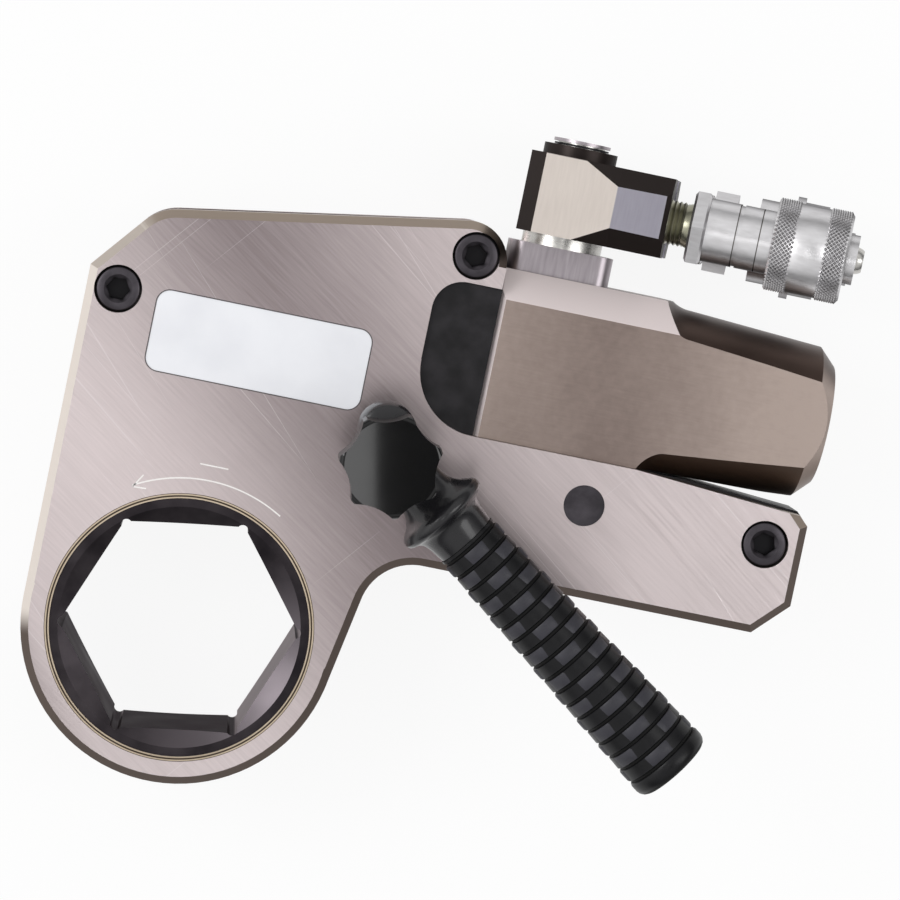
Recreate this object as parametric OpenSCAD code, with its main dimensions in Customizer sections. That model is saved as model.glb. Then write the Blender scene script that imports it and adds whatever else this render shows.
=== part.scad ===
// Low profile hydraulic torque wrench: a ratchet cassette with a hexagon drive, a double-acting
// cylinder that sits on its arm, a swivel with two hose couplers and a side handle.
// +X runs along the cylinder, +Y from the hexagon to the swivel, +Z out of the front plate.
// The origin is the centre of the hexagon, half way between the two side plates.

/* [Hexagon drive] */
// Hexagon opening across its flats
hex_af = 60.8; // [50:0.1:61.5]
// Turn of the hexagon against the cylinder axis
hex_turn = 8.4; // [0:0.1:30]
// Radius of the ratchet's journals in the bushes
journal_r = 38; // [37.4:0.1:38.4]
// Wall of the bronze bushes
bush_wall = 1.45; // [1:0.05:2]
// Width of the toothed band of the ratchet
tooth_w = 12.4; // [8:0.2:13]
// Height of a ratchet tooth
tooth_h = 2.2; // [1.6:0.1:2.6]

/* [Side plates] */
// Radius of the nose round the hexagon
nose_r = 46.4; // [46:0.1:50]
// Thickness of one side plate
plate_t = 10; // [8:0.5:12]
// Gap between the two side plates
plate_gap = 21; // [20.8:0.1:24]
// Bevel round the outer edges
plate_bevel = 2.4; // [0.5:0.1:3]
// Height of the upper left corner of the plate
left_corner_y = 99; // [94:0.5:104]
// Slope of the upper left edge
left_slope = 50.5; // [46:0.5:56]
// Rounding of the top corner
top_round = 15; // [8:0.5:20]
// Slope of the top edge
top_slope = 9.5; // [6:0.5:12]
// Radius of the lobe round the upper screw
lobe_r = 11.6; // [11:0.1:12]
// Height of the arm's lower edge
arm_low_y = 31.7; // [30:0.1:38]
// Length of the arm from the hexagon's centre
arm_end_x = 175.2; // [172:0.1:185]
// Size of the sloped lower corner of the arm
arm_corner = 9.9; // [5:0.1:14]
// Hollow radius between nose and arm
fillet_r = 16; // [8:0.5:18]

/* [Fasteners] */
// Thread diameter of the cassette screws
screw_d = 8; // [6:0.5:9]
// Head diameter of the cassette screws
head_d = 12.8; // [12.2:0.1:13.4]
// Head height of the cassette screws
head_h = 6; // [4:0.5:7]
// Diameter of the retaining pin
pin_d = 12; // [8:0.5:14]

/* [Crank] */
// Distance of the drive pin from the hexagon's centre
lever_r = 96.4; // [95.6:0.1:97.4]
// Swing of the crank to each side of upright
half_swing = 12; // [10:0.5:12]
// Diameter of the drive pin
drive_pin_d = 12; // [9:0.5:13]
// Thickness of a drive plate
drive_plate_t = 4; // [3:0.1:4.2]

/* [Cylinder] */
// Bore of the cylinder
bore_d = 28; // [24:0.5:29]
// Diameter of the piston rod
rod_d = 14; // [11:0.5:15]
// Front end of the cylinder body
body_x = 72.9; // [72.6:0.1:76]
// Length of the cylinder body
body_l = 102.4; // [100:0.1:110]
// Height of the cylinder block above its axis
body_up = 27; // [26:0.1:28]
// Depth of the cylinder block below its axis
body_down = 23.1; // [22:0.1:24]
// Half the width of the cylinder block
body_half_w = 18.7; // [18:0.1:20]
// Radius of the turned part where it starts
turned_r = 25.3; // [24:0.1:26]
// Radius of the turned part at its end
turned_end_r = 22.7; // [20:0.1:24]

/* [Swivel] */
// Position of the swivel axis behind the front end of the cylinder
swivel_x = 15.5; // [15:0.1:19]
// Turn of the couplers towards the front
swivel_turn = 8; // [0:1:12]
// Diameter of the swivel post
post_d = 14; // [12:0.5:16]
// Height of the swivel block
block_h = 23.4; // [22:0.1:25]
// Half the width of the hub of the swivel block
hub_half = 12.6; // [12:0.1:15]
// Distance of each coupler from the swivel's middle
coupler_z = 17; // [15.5:0.5:20]
// Across flats of the coupler hexagons
coupler_af = 21; // [19:0.1:22]
// Diameter of the coupler bodies
coupler_d = 18.6; // [17:0.1:20]
// Diameter of the knurled collar
collar_d = 27.8; // [26:0.1:29]

/* [Handle] */
// Turn of the handle against the cylinder axis
handle_turn = -36.2; // [-60:0.5:0]
// Height of the handle above the front plate
handle_rise = 31; // [28:0.5:36]
// Diameter of the handle's stem
stem_d = 18.5; // [16:0.5:20]
// Length of the grip
grip_l = 89.4; // [89:0.2:110]
// Diameter of the grip next to the guard
grip_d1 = 19.4; // [17:0.1:22]
// Diameter of the grip at its free end
grip_d2 = 25; // [20:0.1:26]
// Radius over the lobes of the knob
knob_r = 14.8; // [13:0.1:17]
// Height of the knob
knob_h = 15; // [12:0.5:20]

/* [Hidden] */
$fn = 64;

// Overlap of cutting shapes past the surface that they cut
over = 1;
// Radial clearance of a running fit
fit = 0.05;
// Clearance between parts that are only laid together
seat = 0.1;
// Clearance of a free gap between moving parts
free = 0.5;
// How far a rounded edge stands proud of the straight edges that run into it
tuck = 0.02;

// Levels of the cassette
z_in = plate_gap / 2;
z_out = z_in + plate_t;
z_teeth = tooth_w / 2;
z_drive_in = z_teeth + seat;
z_drive_out = z_drive_in + drive_plate_t;

// Cylinder axis: half way between the highest and lowest place of the drive pin
axis_y = lever_r * (1 + cos(half_swing)) / 2;
pin_x = lever_r * sin(half_swing);
stroke = 2 * pin_x;
arm_top_y = axis_y - body_down - seat;
body_end_x = body_x + body_l;
body_top_y = axis_y + body_up;

// Places of the screws, the retaining pin and the knob
plate_play = 0.4;
plate_right_x = body_x - plate_play;
screw_top_in = 9.4;
screw_top_up = 28.6533;
screw_top = [plate_right_x - screw_top_in, axis_y + screw_top_up];
lobe_up = 38.4533;
lobe_at = [plate_right_x - lobe_r, axis_y + lobe_up - lobe_r];
screw_left_in = 9.3;
screw_left_down = 5.4;
screw_left = [screw_left_in - nose_r, left_corner_y - screw_left_down];
screw_arm_in = 11.6;
screw_arm_up = 6.2;
screw_arm = [arm_end_x - screw_arm_in, (arm_top_y + arm_low_y) / 2 + screw_arm_up];
pin_set = 36.1;
pin_up = 0.6;
pin_at = [body_x + pin_set, screw_arm[1] + pin_up];
knob_x = 48.5;
knob_down = 9.6;
knob_at = [knob_x, arm_top_y - knob_down];
screws = [screw_left, screw_top, screw_arm];
counterbore_play = 1.2;
counterbore_d = head_d + counterbore_play;
head_sink = 0.6;
shank_gap = 0.2;
sleeve_r = 6.5;

// Where two lines meet, each given by a point and a direction angle
function meet(p, a, q, b) =
    let (t = ((q[0] - p[0]) * sin(b) - (q[1] - p[1]) * cos(b)) / sin(b - a))
    [p[0] + t * cos(a), p[1] + t * sin(a)];
function along(p, a, d) = [p[0] + d * cos(a), p[1] + d * sin(a)];
function heading(p, q) = atan2(q[1] - p[1], q[0] - p[0]);
function reach(p, q) = norm([q[0] - p[0], q[1] - p[1]]);

// Corners of the plate outline
lobe_top = along(lobe_at, 90 + top_slope, lobe_r);
left_corner = [-nose_r, left_corner_y];
top_corner = meet(left_corner, left_slope, lobe_top, top_slope);
top_tangent = top_round * tan((left_slope - top_slope) / 2);
top_start = along(top_corner, left_slope + 180, top_tangent);
top_end = along(top_corner, top_slope, top_tangent);
top_centre = along(top_end, top_slope - 90, top_round);
nose_angle = -10.5;
nose_leave = [nose_r * cos(nose_angle), nose_r * sin(nose_angle)];
nose_heading = nose_angle + 90;
inner_corner = meet(nose_leave, nose_heading, [0, arm_low_y], 0);
fillet_run = fillet_r * tan(nose_heading / 2);
fillet_start = along(inner_corner, nose_heading + 180, fillet_run);
fillet_end = along(inner_corner, 0, fillet_run);
fillet_centre = [fillet_end[0], arm_low_y - fillet_r];
arm_corner_low = [arm_end_x - arm_corner, arm_low_y];
arm_corner_high = [arm_end_x, arm_low_y + arm_corner];
arm_tip_bevel = 2.7;
arm_tip_drop = 3.8;
arm_slope_l = 53.2;
arm_slope_x = arm_end_x - arm_slope_l;
arm_tip_high = [arm_end_x - arm_tip_bevel, arm_top_y - arm_tip_drop];
arm_tip_low = [arm_end_x, arm_top_y - arm_tip_drop - arm_tip_bevel];

// Window for the cylinder's nose
window_x = 53.4;
window_up = 20.6;
window_top_y = axis_y + window_up;
window_round = 9;
window_low_round = 19;

// Recess of the label
label_w = 64;
label_h = 24;
label_round = 4;
label_depth = 0.6;
label_x = 6.5;
label_down = 11;
label_at = [label_x, axis_y - label_down];

module plate_window(gap = 0) {
    translate([window_x + window_round, window_top_y - window_round]) circle(window_round - gap);
    translate([plate_right_x, arm_top_y + window_low_round]) circle(window_low_round - gap);
    translate([window_x + gap, arm_top_y + window_low_round])
        square([body_x - window_x, window_top_y - window_round - arm_top_y - window_low_round]);
    translate([window_x + window_round, arm_top_y + window_low_round])
        square([body_x - window_x - window_round + gap, window_top_y - arm_top_y - window_low_round - gap]);
    translate([plate_right_x, arm_top_y + gap])
        square([body_x - plate_right_x + gap, window_low_round]);
}

module plate_outline() {
    difference() {
        union() {
            circle(nose_r + tuck);
            translate(lobe_at) circle(lobe_r + tuck);
            translate(top_centre) circle(top_round + tuck);
            polygon([
                [-nose_r, 0], nose_leave, fillet_start, inner_corner, fillet_end, arm_corner_low,
                arm_corner_high, arm_tip_low, arm_tip_high, [arm_slope_x, arm_top_y],
                [plate_right_x, arm_top_y], [plate_right_x, lobe_at[1]], lobe_top, top_end,
                top_start, left_corner
            ]);
            polygon([fillet_start, fillet_centre, fillet_end, inner_corner]);
        }
        translate(fillet_centre) circle(fillet_r + tuck);
        plate_window();
    }
}

// Section of a 45 degree bevel, with the plate on the side of +X
module bevel_section(c) {
    polygon([[c + over, z_out + over], [-over, z_out - c - over], [-over, z_out + over]]);
}

// Bevel along a straight edge that has the plate on its left
module straight_bevel(p, q, before = 0, after = 0) {
    translate(along(p, heading(p, q), -before))
        rotate([0, 0, heading(p, q)])
            rotate([90, 0, 90])
                linear_extrude(reach(p, q) + before + after) bevel_section(plate_bevel);
}

// Bevel along an outward round edge
module round_bevel(centre, r, from, to) {
    translate(centre) rotate([0, 0, from]) rotate_extrude(angle = to - from, $fn = 96)
        translate([r + tuck, 0]) mirror([1, 0]) bevel_section(plate_bevel);
}

// Bevel along a hollow round edge
module hollow_bevel(centre, r, from, to) {
    translate(centre) rotate([0, 0, from]) rotate_extrude(angle = to - from, $fn = 96)
        translate([r + tuck, 0]) bevel_section(plate_bevel);
}

// Angle by which a round bevel overlaps the straight one beside it
lap = 6;
module plate_bevels() {
    round_bevel([0, 0], nose_r, 180 - lap, 360 + nose_angle + lap);
    straight_bevel(left_corner, [-nose_r, 0], before = plate_bevel);
    straight_bevel(top_start, left_corner, after = plate_bevel);
    round_bevel(top_centre, top_round, 90 + top_slope - lap, 90 + left_slope + lap);
    straight_bevel(lobe_top, top_end, before = 1);
    round_bevel(lobe_at, lobe_r, 0, 90 + top_slope + lap);
    straight_bevel(nose_leave, fillet_start, before = 2);
    hollow_bevel(fillet_centre, fillet_r, 90 - lap, 90 + nose_heading + lap);
    straight_bevel(fillet_end, arm_corner_low, after = plate_bevel);
    straight_bevel(arm_corner_low, arm_corner_high, plate_bevel, plate_bevel);
    straight_bevel(arm_corner_high, arm_tip_low, plate_bevel, over);
    straight_bevel(arm_tip_low, arm_tip_high, over, 3 * plate_bevel);
}

// Blank of a side plate, as the front one lies
module plate_blank() {
    difference() {
        translate([0, 0, z_in]) linear_extrude(plate_t) plate_outline();
        plate_bevels();
        hole(0, 0, journal_r + fit + bush_wall + fit / 2);
        hole(pin_at[0], pin_at[1], pin_d / 2 + fit);
        hole(knob_at[0], knob_at[1], stud_d / 2 + fit);
    }
}

// Hole through the front half of the cassette
module hole(x, y, r) {
    translate([x, y, z_in - over]) cylinder(r = r, h = plate_t + 2 * over);
}

module rounded_slab(w, h, r) {
    square([w - 2 * r, h], center = true);
    square([w, h - 2 * r], center = true);
    for (x = [-1, 1], y = [-1, 1]) translate([x * (w / 2 - r), y * (h / 2 - r)]) circle(r);
}

module side_plate_front() {
    color("silver") difference() {
        plate_blank();
        for (s = screws) {
            hole(s[0], s[1], screw_d / 2 + shank_gap);
            translate([s[0], s[1], z_out - head_h - head_sink])
                cylinder(d = counterbore_d, h = head_h + head_sink + over);
        }
        translate([label_at[0], label_at[1], z_out - label_depth])
            linear_extrude(label_depth + over) rounded_slab(label_w, label_h, label_round);
    }
}

module side_plate_rear() {
    color("silver") mirror([0, 0, 1]) difference() {
        plate_blank();
        for (s = screws) hole(s[0], s[1], screw_d / 2 + fit);
    }
}

module spacer_sleeves() {
    color("dimgray") for (s = [screw_left, screw_top]) translate([s[0], s[1], -z_in]) difference() {
        cylinder(r = sleeve_r, h = plate_gap);
        translate([0, 0, -over]) cylinder(r = screw_d / 2 + shank_gap, h = plate_gap + 2 * over);
    }
}

// Block between the plates at the end of the arm, a little proud of the plates' upper edge
spacer_set = 1.4;
spacer_proud = 0.7;
module arm_spacer() {
    color([0.1, 0.1, 0.1]) difference() {
        translate([0, 0, -z_in]) linear_extrude(plate_gap) difference() {
            translate([0, spacer_proud]) plate_outline();
            translate([-nose_r - over, -nose_r - over])
                square([lug_end_x + free + nose_r + over, 3 * nose_r + axis_y]);
            translate([lug_end_x - over, 0]) square([arm_end_x, arm_low_y + spacer_set]);
            translate([arm_end_x - spacer_set, 0]) square([over + spacer_set, axis_y]);
            translate([lug_end_x - over, arm_top_y - over / 2]) square([arm_end_x, axis_y]);
        }
        translate([screw_arm[0], screw_arm[1], -z_in - over])
            cylinder(r = screw_d / 2 + shank_gap, h = plate_gap + 2 * over);
    }
}

socket_af = 6;
socket_depth = 3.5;
module cassette_screws() {
    color([0.12, 0.12, 0.13]) for (s = screws) translate([s[0], s[1], 0]) difference() {
        union() {
            translate([0, 0, z_out - head_sink - head_h]) cylinder(d = head_d, h = head_h);
            translate([0, 0, head_sink - z_out])
                cylinder(d = screw_d, h = 2 * z_out - 2 * head_sink - head_h);
        }
        translate([0, 0, z_out - head_sink - socket_depth])
            cylinder(d = socket_af / cos(30), h = socket_depth + over, $fn = 6);
    }
}

module bush() {
    color("peru") translate([0, 0, z_in]) difference() {
        cylinder(r = journal_r + fit + bush_wall, h = plate_t);
        translate([0, 0, -over]) cylinder(r = journal_r + fit, h = plate_t + 2 * over);
    }
}
module bush_front() bush();
module bush_rear() mirror([0, 0, 1]) bush();

module label_plate() {
    color("white") translate([label_at[0], label_at[1], z_out - label_depth])
        linear_extrude(label_depth - seat)
            rounded_slab(label_w - 2 * seat, label_h - 2 * seat, label_round - seat);
}

// Black nose piece in the window of the plates, bored for the gland
shroud_sink = 1.7;
shroud_wall = 3.4;
module shroud() {
    color([0.08, 0.08, 0.08]) difference() {
        translate([0, 0, shroud_sink - z_out]) linear_extrude(2 * (z_out - shroud_sink)) intersection() {
            plate_window(seat);
            translate([window_x, arm_top_y]) square([body_x - seat - window_x, window_top_y - arm_top_y]);
        }
        translate([window_x + shroud_wall, axis_y, 0]) rotate([0, 90, 0])
            cylinder(r = gland_nose_r + seat, h = body_x - window_x);
        translate([window_x - over, axis_y, 0]) rotate([0, 90, 0])
            cylinder(r = rod_d / 2 + free, h = shroud_wall + 2 * over);
    }
}

module retaining_pin() {
    color([0.1, 0.1, 0.1]) translate([pin_at[0], pin_at[1], seat - z_out])
        cylinder(d = pin_d, h = 2 * (z_out - seat));
}

// Ratchet teeth: a steep driving face on the clockwise side and a long back
tooth_n = 60;
tooth_pitch = 360 / tooth_n;
tooth_rise = 4.3;
tooth_tip_r = journal_r + tooth_rise;
tooth_root_r = tooth_tip_r - tooth_h;
function tooth(a, gap) = [
    [for (s = [[0, 0], [0.2, 1], [0.3, 1], [0.9, 0]])
        let (r = tooth_root_r + s[1] * tooth_h + gap, t = a + s[0] * tooth_pitch)
        [r * cos(t), r * sin(t)]]
][0];

// Hexagon wrench opening with lead-in cones and relieved corners
hex_corner_r = hex_af / 2 / cos(30);
lead_out = 0.4;
lead_in = 0.2;
lead_r = hex_corner_r + lead_out;
lead_h = 2.8;
relief_r = 1.6;
relief_set = 1.1;
ratchet_sink = 0.4;
hub_step = 0.55;
hub_r = journal_r + hub_step;
module ratchet() {
    z_face = z_out - ratchet_sink;
    color([0.2, 0.19, 0.21]) difference() {
        union() {
            translate([0, 0, -z_face]) cylinder(r = journal_r, h = 2 * z_face);
            translate([0, 0, -z_drive_out]) cylinder(r = hub_r, h = 2 * z_drive_out);
            translate([0, 0, -z_teeth]) linear_extrude(tooth_w)
                polygon([for (k = [0 : tooth_n - 1]) each tooth(k * tooth_pitch, 0)]);
        }
        rotate([0, 0, hex_turn]) {
            translate([0, 0, -z_out]) cylinder(r = hex_corner_r, h = 2 * z_out, $fn = 6);
            for (k = [0 : 5]) rotate([0, 0, 60 * k])
                translate([hex_corner_r - relief_set, 0, -z_out])
                    cylinder(r = relief_r, h = 2 * z_out, $fn = 24);
        }
        for (m = [0, 1]) mirror([0, 0, m]) translate([0, 0, z_face - lead_h])
            cylinder(r1 = hex_af / 2 - lead_in, r2 = lead_r, h = lead_h + 0.001);
    }
}

// The crank is drawn upright and turned to its place at rest
module crank_at_rest() {
    rotate([0, 0, -half_swing]) children();
}

ring_wall = 2.5;
ring_r = tooth_tip_r + ring_wall;
ear_r = 9.5;
cheek_w = 30;
cheek_y = 32;
pawl_half = 8.4;
pawl_l = 16;
pawl_top = tooth_tip_r + pawl_l;
pawl_travel = 2.8;
spring_l = 6;
block_half = 17;

// The block ends below the hook of the piston rod; its third rivet lies between the spring and that end
hook_low = 11;
hook_gap = 3.3467;
block_top = axis_y - hook_low - hook_gap;
rivet_d = 6;
rivet_side = 12.5;
rivet_low = 53;
rivet_share = 0.616766;
rivet_top = pawl_top + spring_l + rivet_share * (block_top - pawl_top - spring_l);
rivets = [[-rivet_side, rivet_low], [rivet_side, rivet_low], [0, rivet_top]];
module drive_plate() {
    color([0.35, 0.35, 0.37]) crank_at_rest() translate([0, 0, z_drive_in]) difference() {
        linear_extrude(drive_plate_t) {
            circle(ring_r);
            translate([0, lever_r]) circle(ear_r);
            polygon([[-cheek_w, cheek_y], [cheek_w, cheek_y], [ear_r, lever_r], [-ear_r, lever_r]]);
        }
        translate([0, 0, -over]) cylinder(r = hub_r + fit, h = drive_plate_t + 2 * over);
        translate([0, lever_r, -over]) cylinder(d = drive_pin_d + 2 * fit, h = drive_plate_t + 2 * over);
        for (p = rivets) translate([p[0], p[1], -over])
            cylinder(d = rivet_d + 2 * fit, h = drive_plate_t + 2 * over);
    }
}
module drive_plate_front() drive_plate();
module drive_plate_rear() mirror([0, 0, 1]) drive_plate();

// Block between the drive plates, with the pocket that guides the pawl
block_low = 6;
module crank_block() {
    color([0.4, 0.4, 0.42]) crank_at_rest() translate([0, 0, -z_teeth]) difference() {
        linear_extrude(tooth_w) difference() {
            translate([-block_half, 0]) square([2 * block_half, block_top]);
            circle(tooth_tip_r + free);
            translate([-pawl_half - fit, 0]) square([2 * (pawl_half + fit), pawl_top + spring_l]);
            translate([-block_half - over, -over])
                square([2 * (block_half + over), tooth_root_r - block_low]);
        }
        for (p = rivets) translate([p[0], p[1], -over])
            cylinder(d = rivet_d + 2 * fit, h = tooth_w + 2 * over);
    }
}

module crank_rivets() {
    color("gray") crank_at_rest() for (p = rivets) translate([p[0], p[1], -z_drive_out])
        cylinder(d = rivet_d, h = 2 * z_drive_out);
}

module drive_pin() {
    color("gainsboro") crank_at_rest() translate([0, lever_r, -z_drive_out])
        cylinder(d = drive_pin_d, h = 2 * z_drive_out);
}

// Toothed pawl that seats in the ratchet
mesh_gap = 0.15;
pawl_side = 0.1;
module pawl() {
    color([0.3, 0.3, 0.32]) crank_at_rest() translate([0, 0, pawl_side - z_teeth])
        linear_extrude(tooth_w - 2 * pawl_side) intersection() {
            translate([-pawl_half, 0]) square([2 * pawl_half, pawl_top]);
            polygon(concat(
                [for (k = [-3 : 2]) each tooth(90 + k * tooth_pitch, mesh_gap)],
                [[-pawl_half - 9, pawl_top + over], [pawl_half + 9, pawl_top + over]]
            ));
        }
}

// Coil spring along +Z, swept round its wire
module coil(r, wire, l, turns) {
    sides = 8;
    steps = 14;
    n = turns * steps;
    rise = (l - 2 * wire) / n;
    points = [for (i = [0 : n], j = [0 : sides - 1])
        let (a = 360 * i / steps, b = 360 * j / sides, q = r + wire * cos(b))
        [q * cos(a), q * sin(a), wire + rise * i + wire * sin(b)]];
    walls = [for (i = [0 : n - 1], j = [0 : sides - 1])
        let (k = (j + 1) % sides)
        [i * sides + j, i * sides + k, (i + 1) * sides + k, (i + 1) * sides + j]];
    polyhedron(points, concat([for (w = walls) [w[3], w[2], w[1], w[0]]],
        [[for (j = [0 : sides - 1]) j], [for (j = [sides - 1 : -1 : 0]) n * sides + j]]));
}

spring_r = 3.6;
spring_wire = 0.55;
module pawl_spring() {
    color("lightgray") crank_at_rest() translate([0, pawl_top + seat, 0]) rotate([-90, 0, 0])
        coil(spring_r, spring_wire, spring_l - 2 * seat, 3);
}

// Cylinder body: a milled block whose rear part is turned to a slight taper
top_bevel = 7;
front_bevel = 1.5;
run_out = 10;
turned_set = 57.1;
turned_x = body_x + turned_set;
end_bevel = 4.8;
gland_r = 15.4;
gland_l = 22;
gland_nose_r = 14.2;
gland_nose_l = 15.5;
end_wall = 10;
lug_front = 12;
lug_back = 11.5;
lug_x = pin_at[0] - lug_front;
lug_end_x = pin_at[0] + lug_back;
lug_low = 10;
module along_axis(x) {
    translate([x, axis_y, 0]) rotate([0, 90, 0]) children();
}
module cylinder_body() {
    color([0.45, 0.4, 0.37]) difference() {
        union() {
            difference() {
                translate([body_x, axis_y - body_down, -body_half_w])
                    cube([body_l, body_down + body_up, 2 * body_half_w]);
                for (m = [0, 1]) mirror([0, 0, m]) {
                    translate([body_x - over, body_top_y - top_bevel, body_half_w]) rotate([45, 0, 0])
                        cube([body_l + 2 * over, 2 * top_bevel, 2 * top_bevel]);
                    translate([body_x, axis_y, body_half_w]) rotate([0, 45, 0])
                        cube([front_bevel * sqrt(2), 4 * body_up, front_bevel * sqrt(2)], center = true);
                }
                along_axis(0) rotate([0, 0, 90]) rotate_extrude($fn = 128) rotate([0, 0, 90]) mirror([0, 1])
                    turned_cutter();
            }
            translate([lug_x, pin_at[1] - lug_low, seat - z_in])
                cube([lug_end_x - lug_x, axis_y - body_down - pin_at[1] + lug_low + over, 2 * (z_in - seat)]);
        }
        along_axis(body_x - over) cylinder(r = gland_r + fit, h = gland_l + over);
        along_axis(body_x) cylinder(d = bore_d, h = body_l - end_wall);
        translate([pin_at[0], pin_at[1], -z_in]) cylinder(d = pin_d + 2 * fit, h = plate_gap);
    }
}

// What the lathe takes away, as distance along the axis and radius
module turned_cutter() {
    r_out = 2 * body_up;
    polygon([
        [turned_x, turned_r], [body_end_x - end_bevel, turned_end_r],
        [body_end_x + over, turned_end_r - end_bevel - over], [body_end_x + over, r_out],
        [turned_x - run_out, r_out], [turned_x - run_out, turned_r + run_out], [turned_x, turned_r + run_out]
    ]);
    translate([turned_x, turned_r + run_out]) circle(run_out);
}

module gland() {
    color("darkgray") difference() {
        union() {
            along_axis(body_x) cylinder(r = gland_r, h = gland_l - seat);
            along_axis(body_x - gland_nose_l) cylinder(r = gland_nose_r, h = gland_nose_l + over);
        }
        along_axis(body_x - gland_nose_l - over)
            cylinder(d = rod_d + 2 * fit, h = gland_l + gland_nose_l + 2 * over);
        along_axis(body_x + rod_seal_x) cylinder(r = rod_d / 2 + seal_t, h = seal_w);
    }
}

rod_seal_x = 11;
seal_t = 2.4;
seal_w = 3;
module rod_seal() {
    color([0.1, 0.2, 0.3]) along_axis(body_x + rod_seal_x + seat) difference() {
        cylinder(r = rod_d / 2 + seal_t - seat, h = seal_w - 2 * seat);
        translate([0, 0, -over]) cylinder(d = rod_d + 2 * fit, h = seal_w + 2 * over);
    }
}

// Piston rod with the hook that drops over the drive pin
piston_l = 16;
piston_end_x = body_end_x - end_wall - free;
piston_x = piston_end_x - piston_l;
spigot_d = 9;
spigot_short = 2;
hook_half = 10;
hook_neck = 13;
hook_t = 2 * (z_teeth - seat);
pin_play = 0.15;
hook_high = 12.5;
module piston_rod() {
    color("gainsboro") union() {
        along_axis(pin_x + hook_neck - over) cylinder(d = rod_d, h = piston_x - pin_x - hook_neck + over);
        along_axis(piston_x - over) cylinder(d = spigot_d, h = piston_l - spigot_short + over);
        difference() {
            translate([pin_x - hook_half, axis_y - hook_low, -hook_t / 2])
                cube([hook_half + hook_neck, hook_low + hook_high, hook_t]);
            translate([pin_x, lever_r + pin_play, -hook_t])
                cylinder(d = drive_pin_d + 2 * pin_play, h = 2 * hook_t);
            translate([pin_x - drive_pin_d / 2 - pin_play, axis_y - hook_low - over, -hook_t])
                cube([drive_pin_d + 2 * pin_play, lever_r + pin_play - axis_y + hook_low + over, 2 * hook_t]);
        }
    }
}

piston_seal_x = 5.5;
piston_seal_w = 5;
piston_seal_t = 2.5;
module piston() {
    color("silver") difference() {
        along_axis(piston_x) cylinder(r = bore_d / 2 - fit, h = piston_l);
        along_axis(piston_x - over)
            cylinder(d = spigot_d + 2 * fit, h = piston_l - spigot_short + over + seat);
        along_axis(piston_x + piston_seal_x) difference() {
            cylinder(d = bore_d + over, h = piston_seal_w);
            translate([0, 0, -over]) cylinder(r = bore_d / 2 - piston_seal_t, h = piston_seal_w + 2 * over);
        }
    }
}

module piston_seal() {
    color([0.1, 0.2, 0.3]) along_axis(piston_x + piston_seal_x + seat) difference() {
        cylinder(r = bore_d / 2 - fit, h = piston_seal_w - 2 * seat);
        translate([0, 0, -over])
            cylinder(r = bore_d / 2 - piston_seal_t + seat, h = piston_seal_w + 2 * over);
    }
}

// Swivel: everything on it is drawn about the post, with X towards the hoses
base_h = 8.6;
base_half = 15.4;
base_half_z = 11;
base_round = 4.4;
base_y = body_top_y;
flange_h = 3.2;
flange_d = 24;
boss_d = 22;
boss_h = 3.4;
block_y = base_y + base_h + flange_h + seat;
block_top_y = block_y + block_h + boss_h;
ring_groove = 1.2;
ring_h = 0.5;
post_out = 1.1;
post_in = 2;
post_x = body_x + swivel_x;
module on_post(y) {
    translate([post_x, y, 0]) rotate([-90, 0, 0]) children();
}
module swivel_base() {
    color("gray") on_post(base_y) difference() {
        linear_extrude(base_h) rounded_slab(2 * base_half, 2 * base_half_z, base_round);
        translate([0, 0, base_h - post_in]) cylinder(d = post_d + 2 * fit, h = post_in + over);
    }
}

seal_levels = [5, 11.5, 18];
o_ring_d = 1.8;
module swivel_post() {
    color("gainsboro") on_post(base_y + base_h) difference() {
        union() {
            translate([0, 0, seat - post_in])
                cylinder(d = post_d, h = flange_h + block_h + boss_h + post_in + post_out);
            cylinder(d = flange_d, h = flange_h);
        }
        for (z = seal_levels) translate([0, 0, flange_h + z]) rotate_extrude()
            translate([post_d / 2, 0]) circle(d = o_ring_d + 2 * fit, $fn = 24);
        translate([0, 0, flange_h + block_h + boss_h + 2 * seat]) rotate_extrude()
            translate([post_d / 2 - ring_groove, 0]) square([ring_groove + over, ring_h + 2 * seat]);
    }
}

module swivel_seals() {
    color([0.1, 0.1, 0.1]) on_post(base_y + base_h + flange_h) for (z = seal_levels)
        translate([0, 0, z]) rotate_extrude() difference() {
            translate([post_d / 2, 0]) circle(d = o_ring_d, $fn = 24);
            translate([post_d / 2, -o_ring_d]) square(2 * o_ring_d);
        }
}

// Manifold: a hub and two arms, bevelled so that the arms taper away from the hub
arm_reach = 30.2;
arm_end_bevel = 1.4;
face_fall = 1.4;
arm_half = 11;
arm_bevel = 5.6;
hub_bevel = 4.7;
taper_x = 3.9;
taper_l = 10.4;
block_half_z = coupler_z + arm_half;
module with_swivel() {
    translate([post_x, 0, 0]) rotate([0, -swivel_turn, 0]) children();
}
module block_plan() {
    polygon([
        [-hub_half, block_half_z - hub_bevel], [hub_bevel - hub_half, block_half_z],
        [taper_x + taper_l, block_half_z], [arm_reach - arm_end_bevel, block_half_z - face_fall],
        [arm_reach, block_half_z - face_fall - arm_end_bevel], [arm_reach, coupler_z - arm_half],
        [hub_half, coupler_z - arm_half], [hub_half, arm_half - coupler_z],
        [arm_reach, arm_half - coupler_z], [arm_reach, face_fall + arm_end_bevel - block_half_z],
        [arm_reach - arm_end_bevel, face_fall - block_half_z], [taper_x + taper_l, -block_half_z],
        [hub_bevel - hub_half, -block_half_z], [-hub_half, hub_bevel - block_half_z]
    ]);
}
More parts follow.
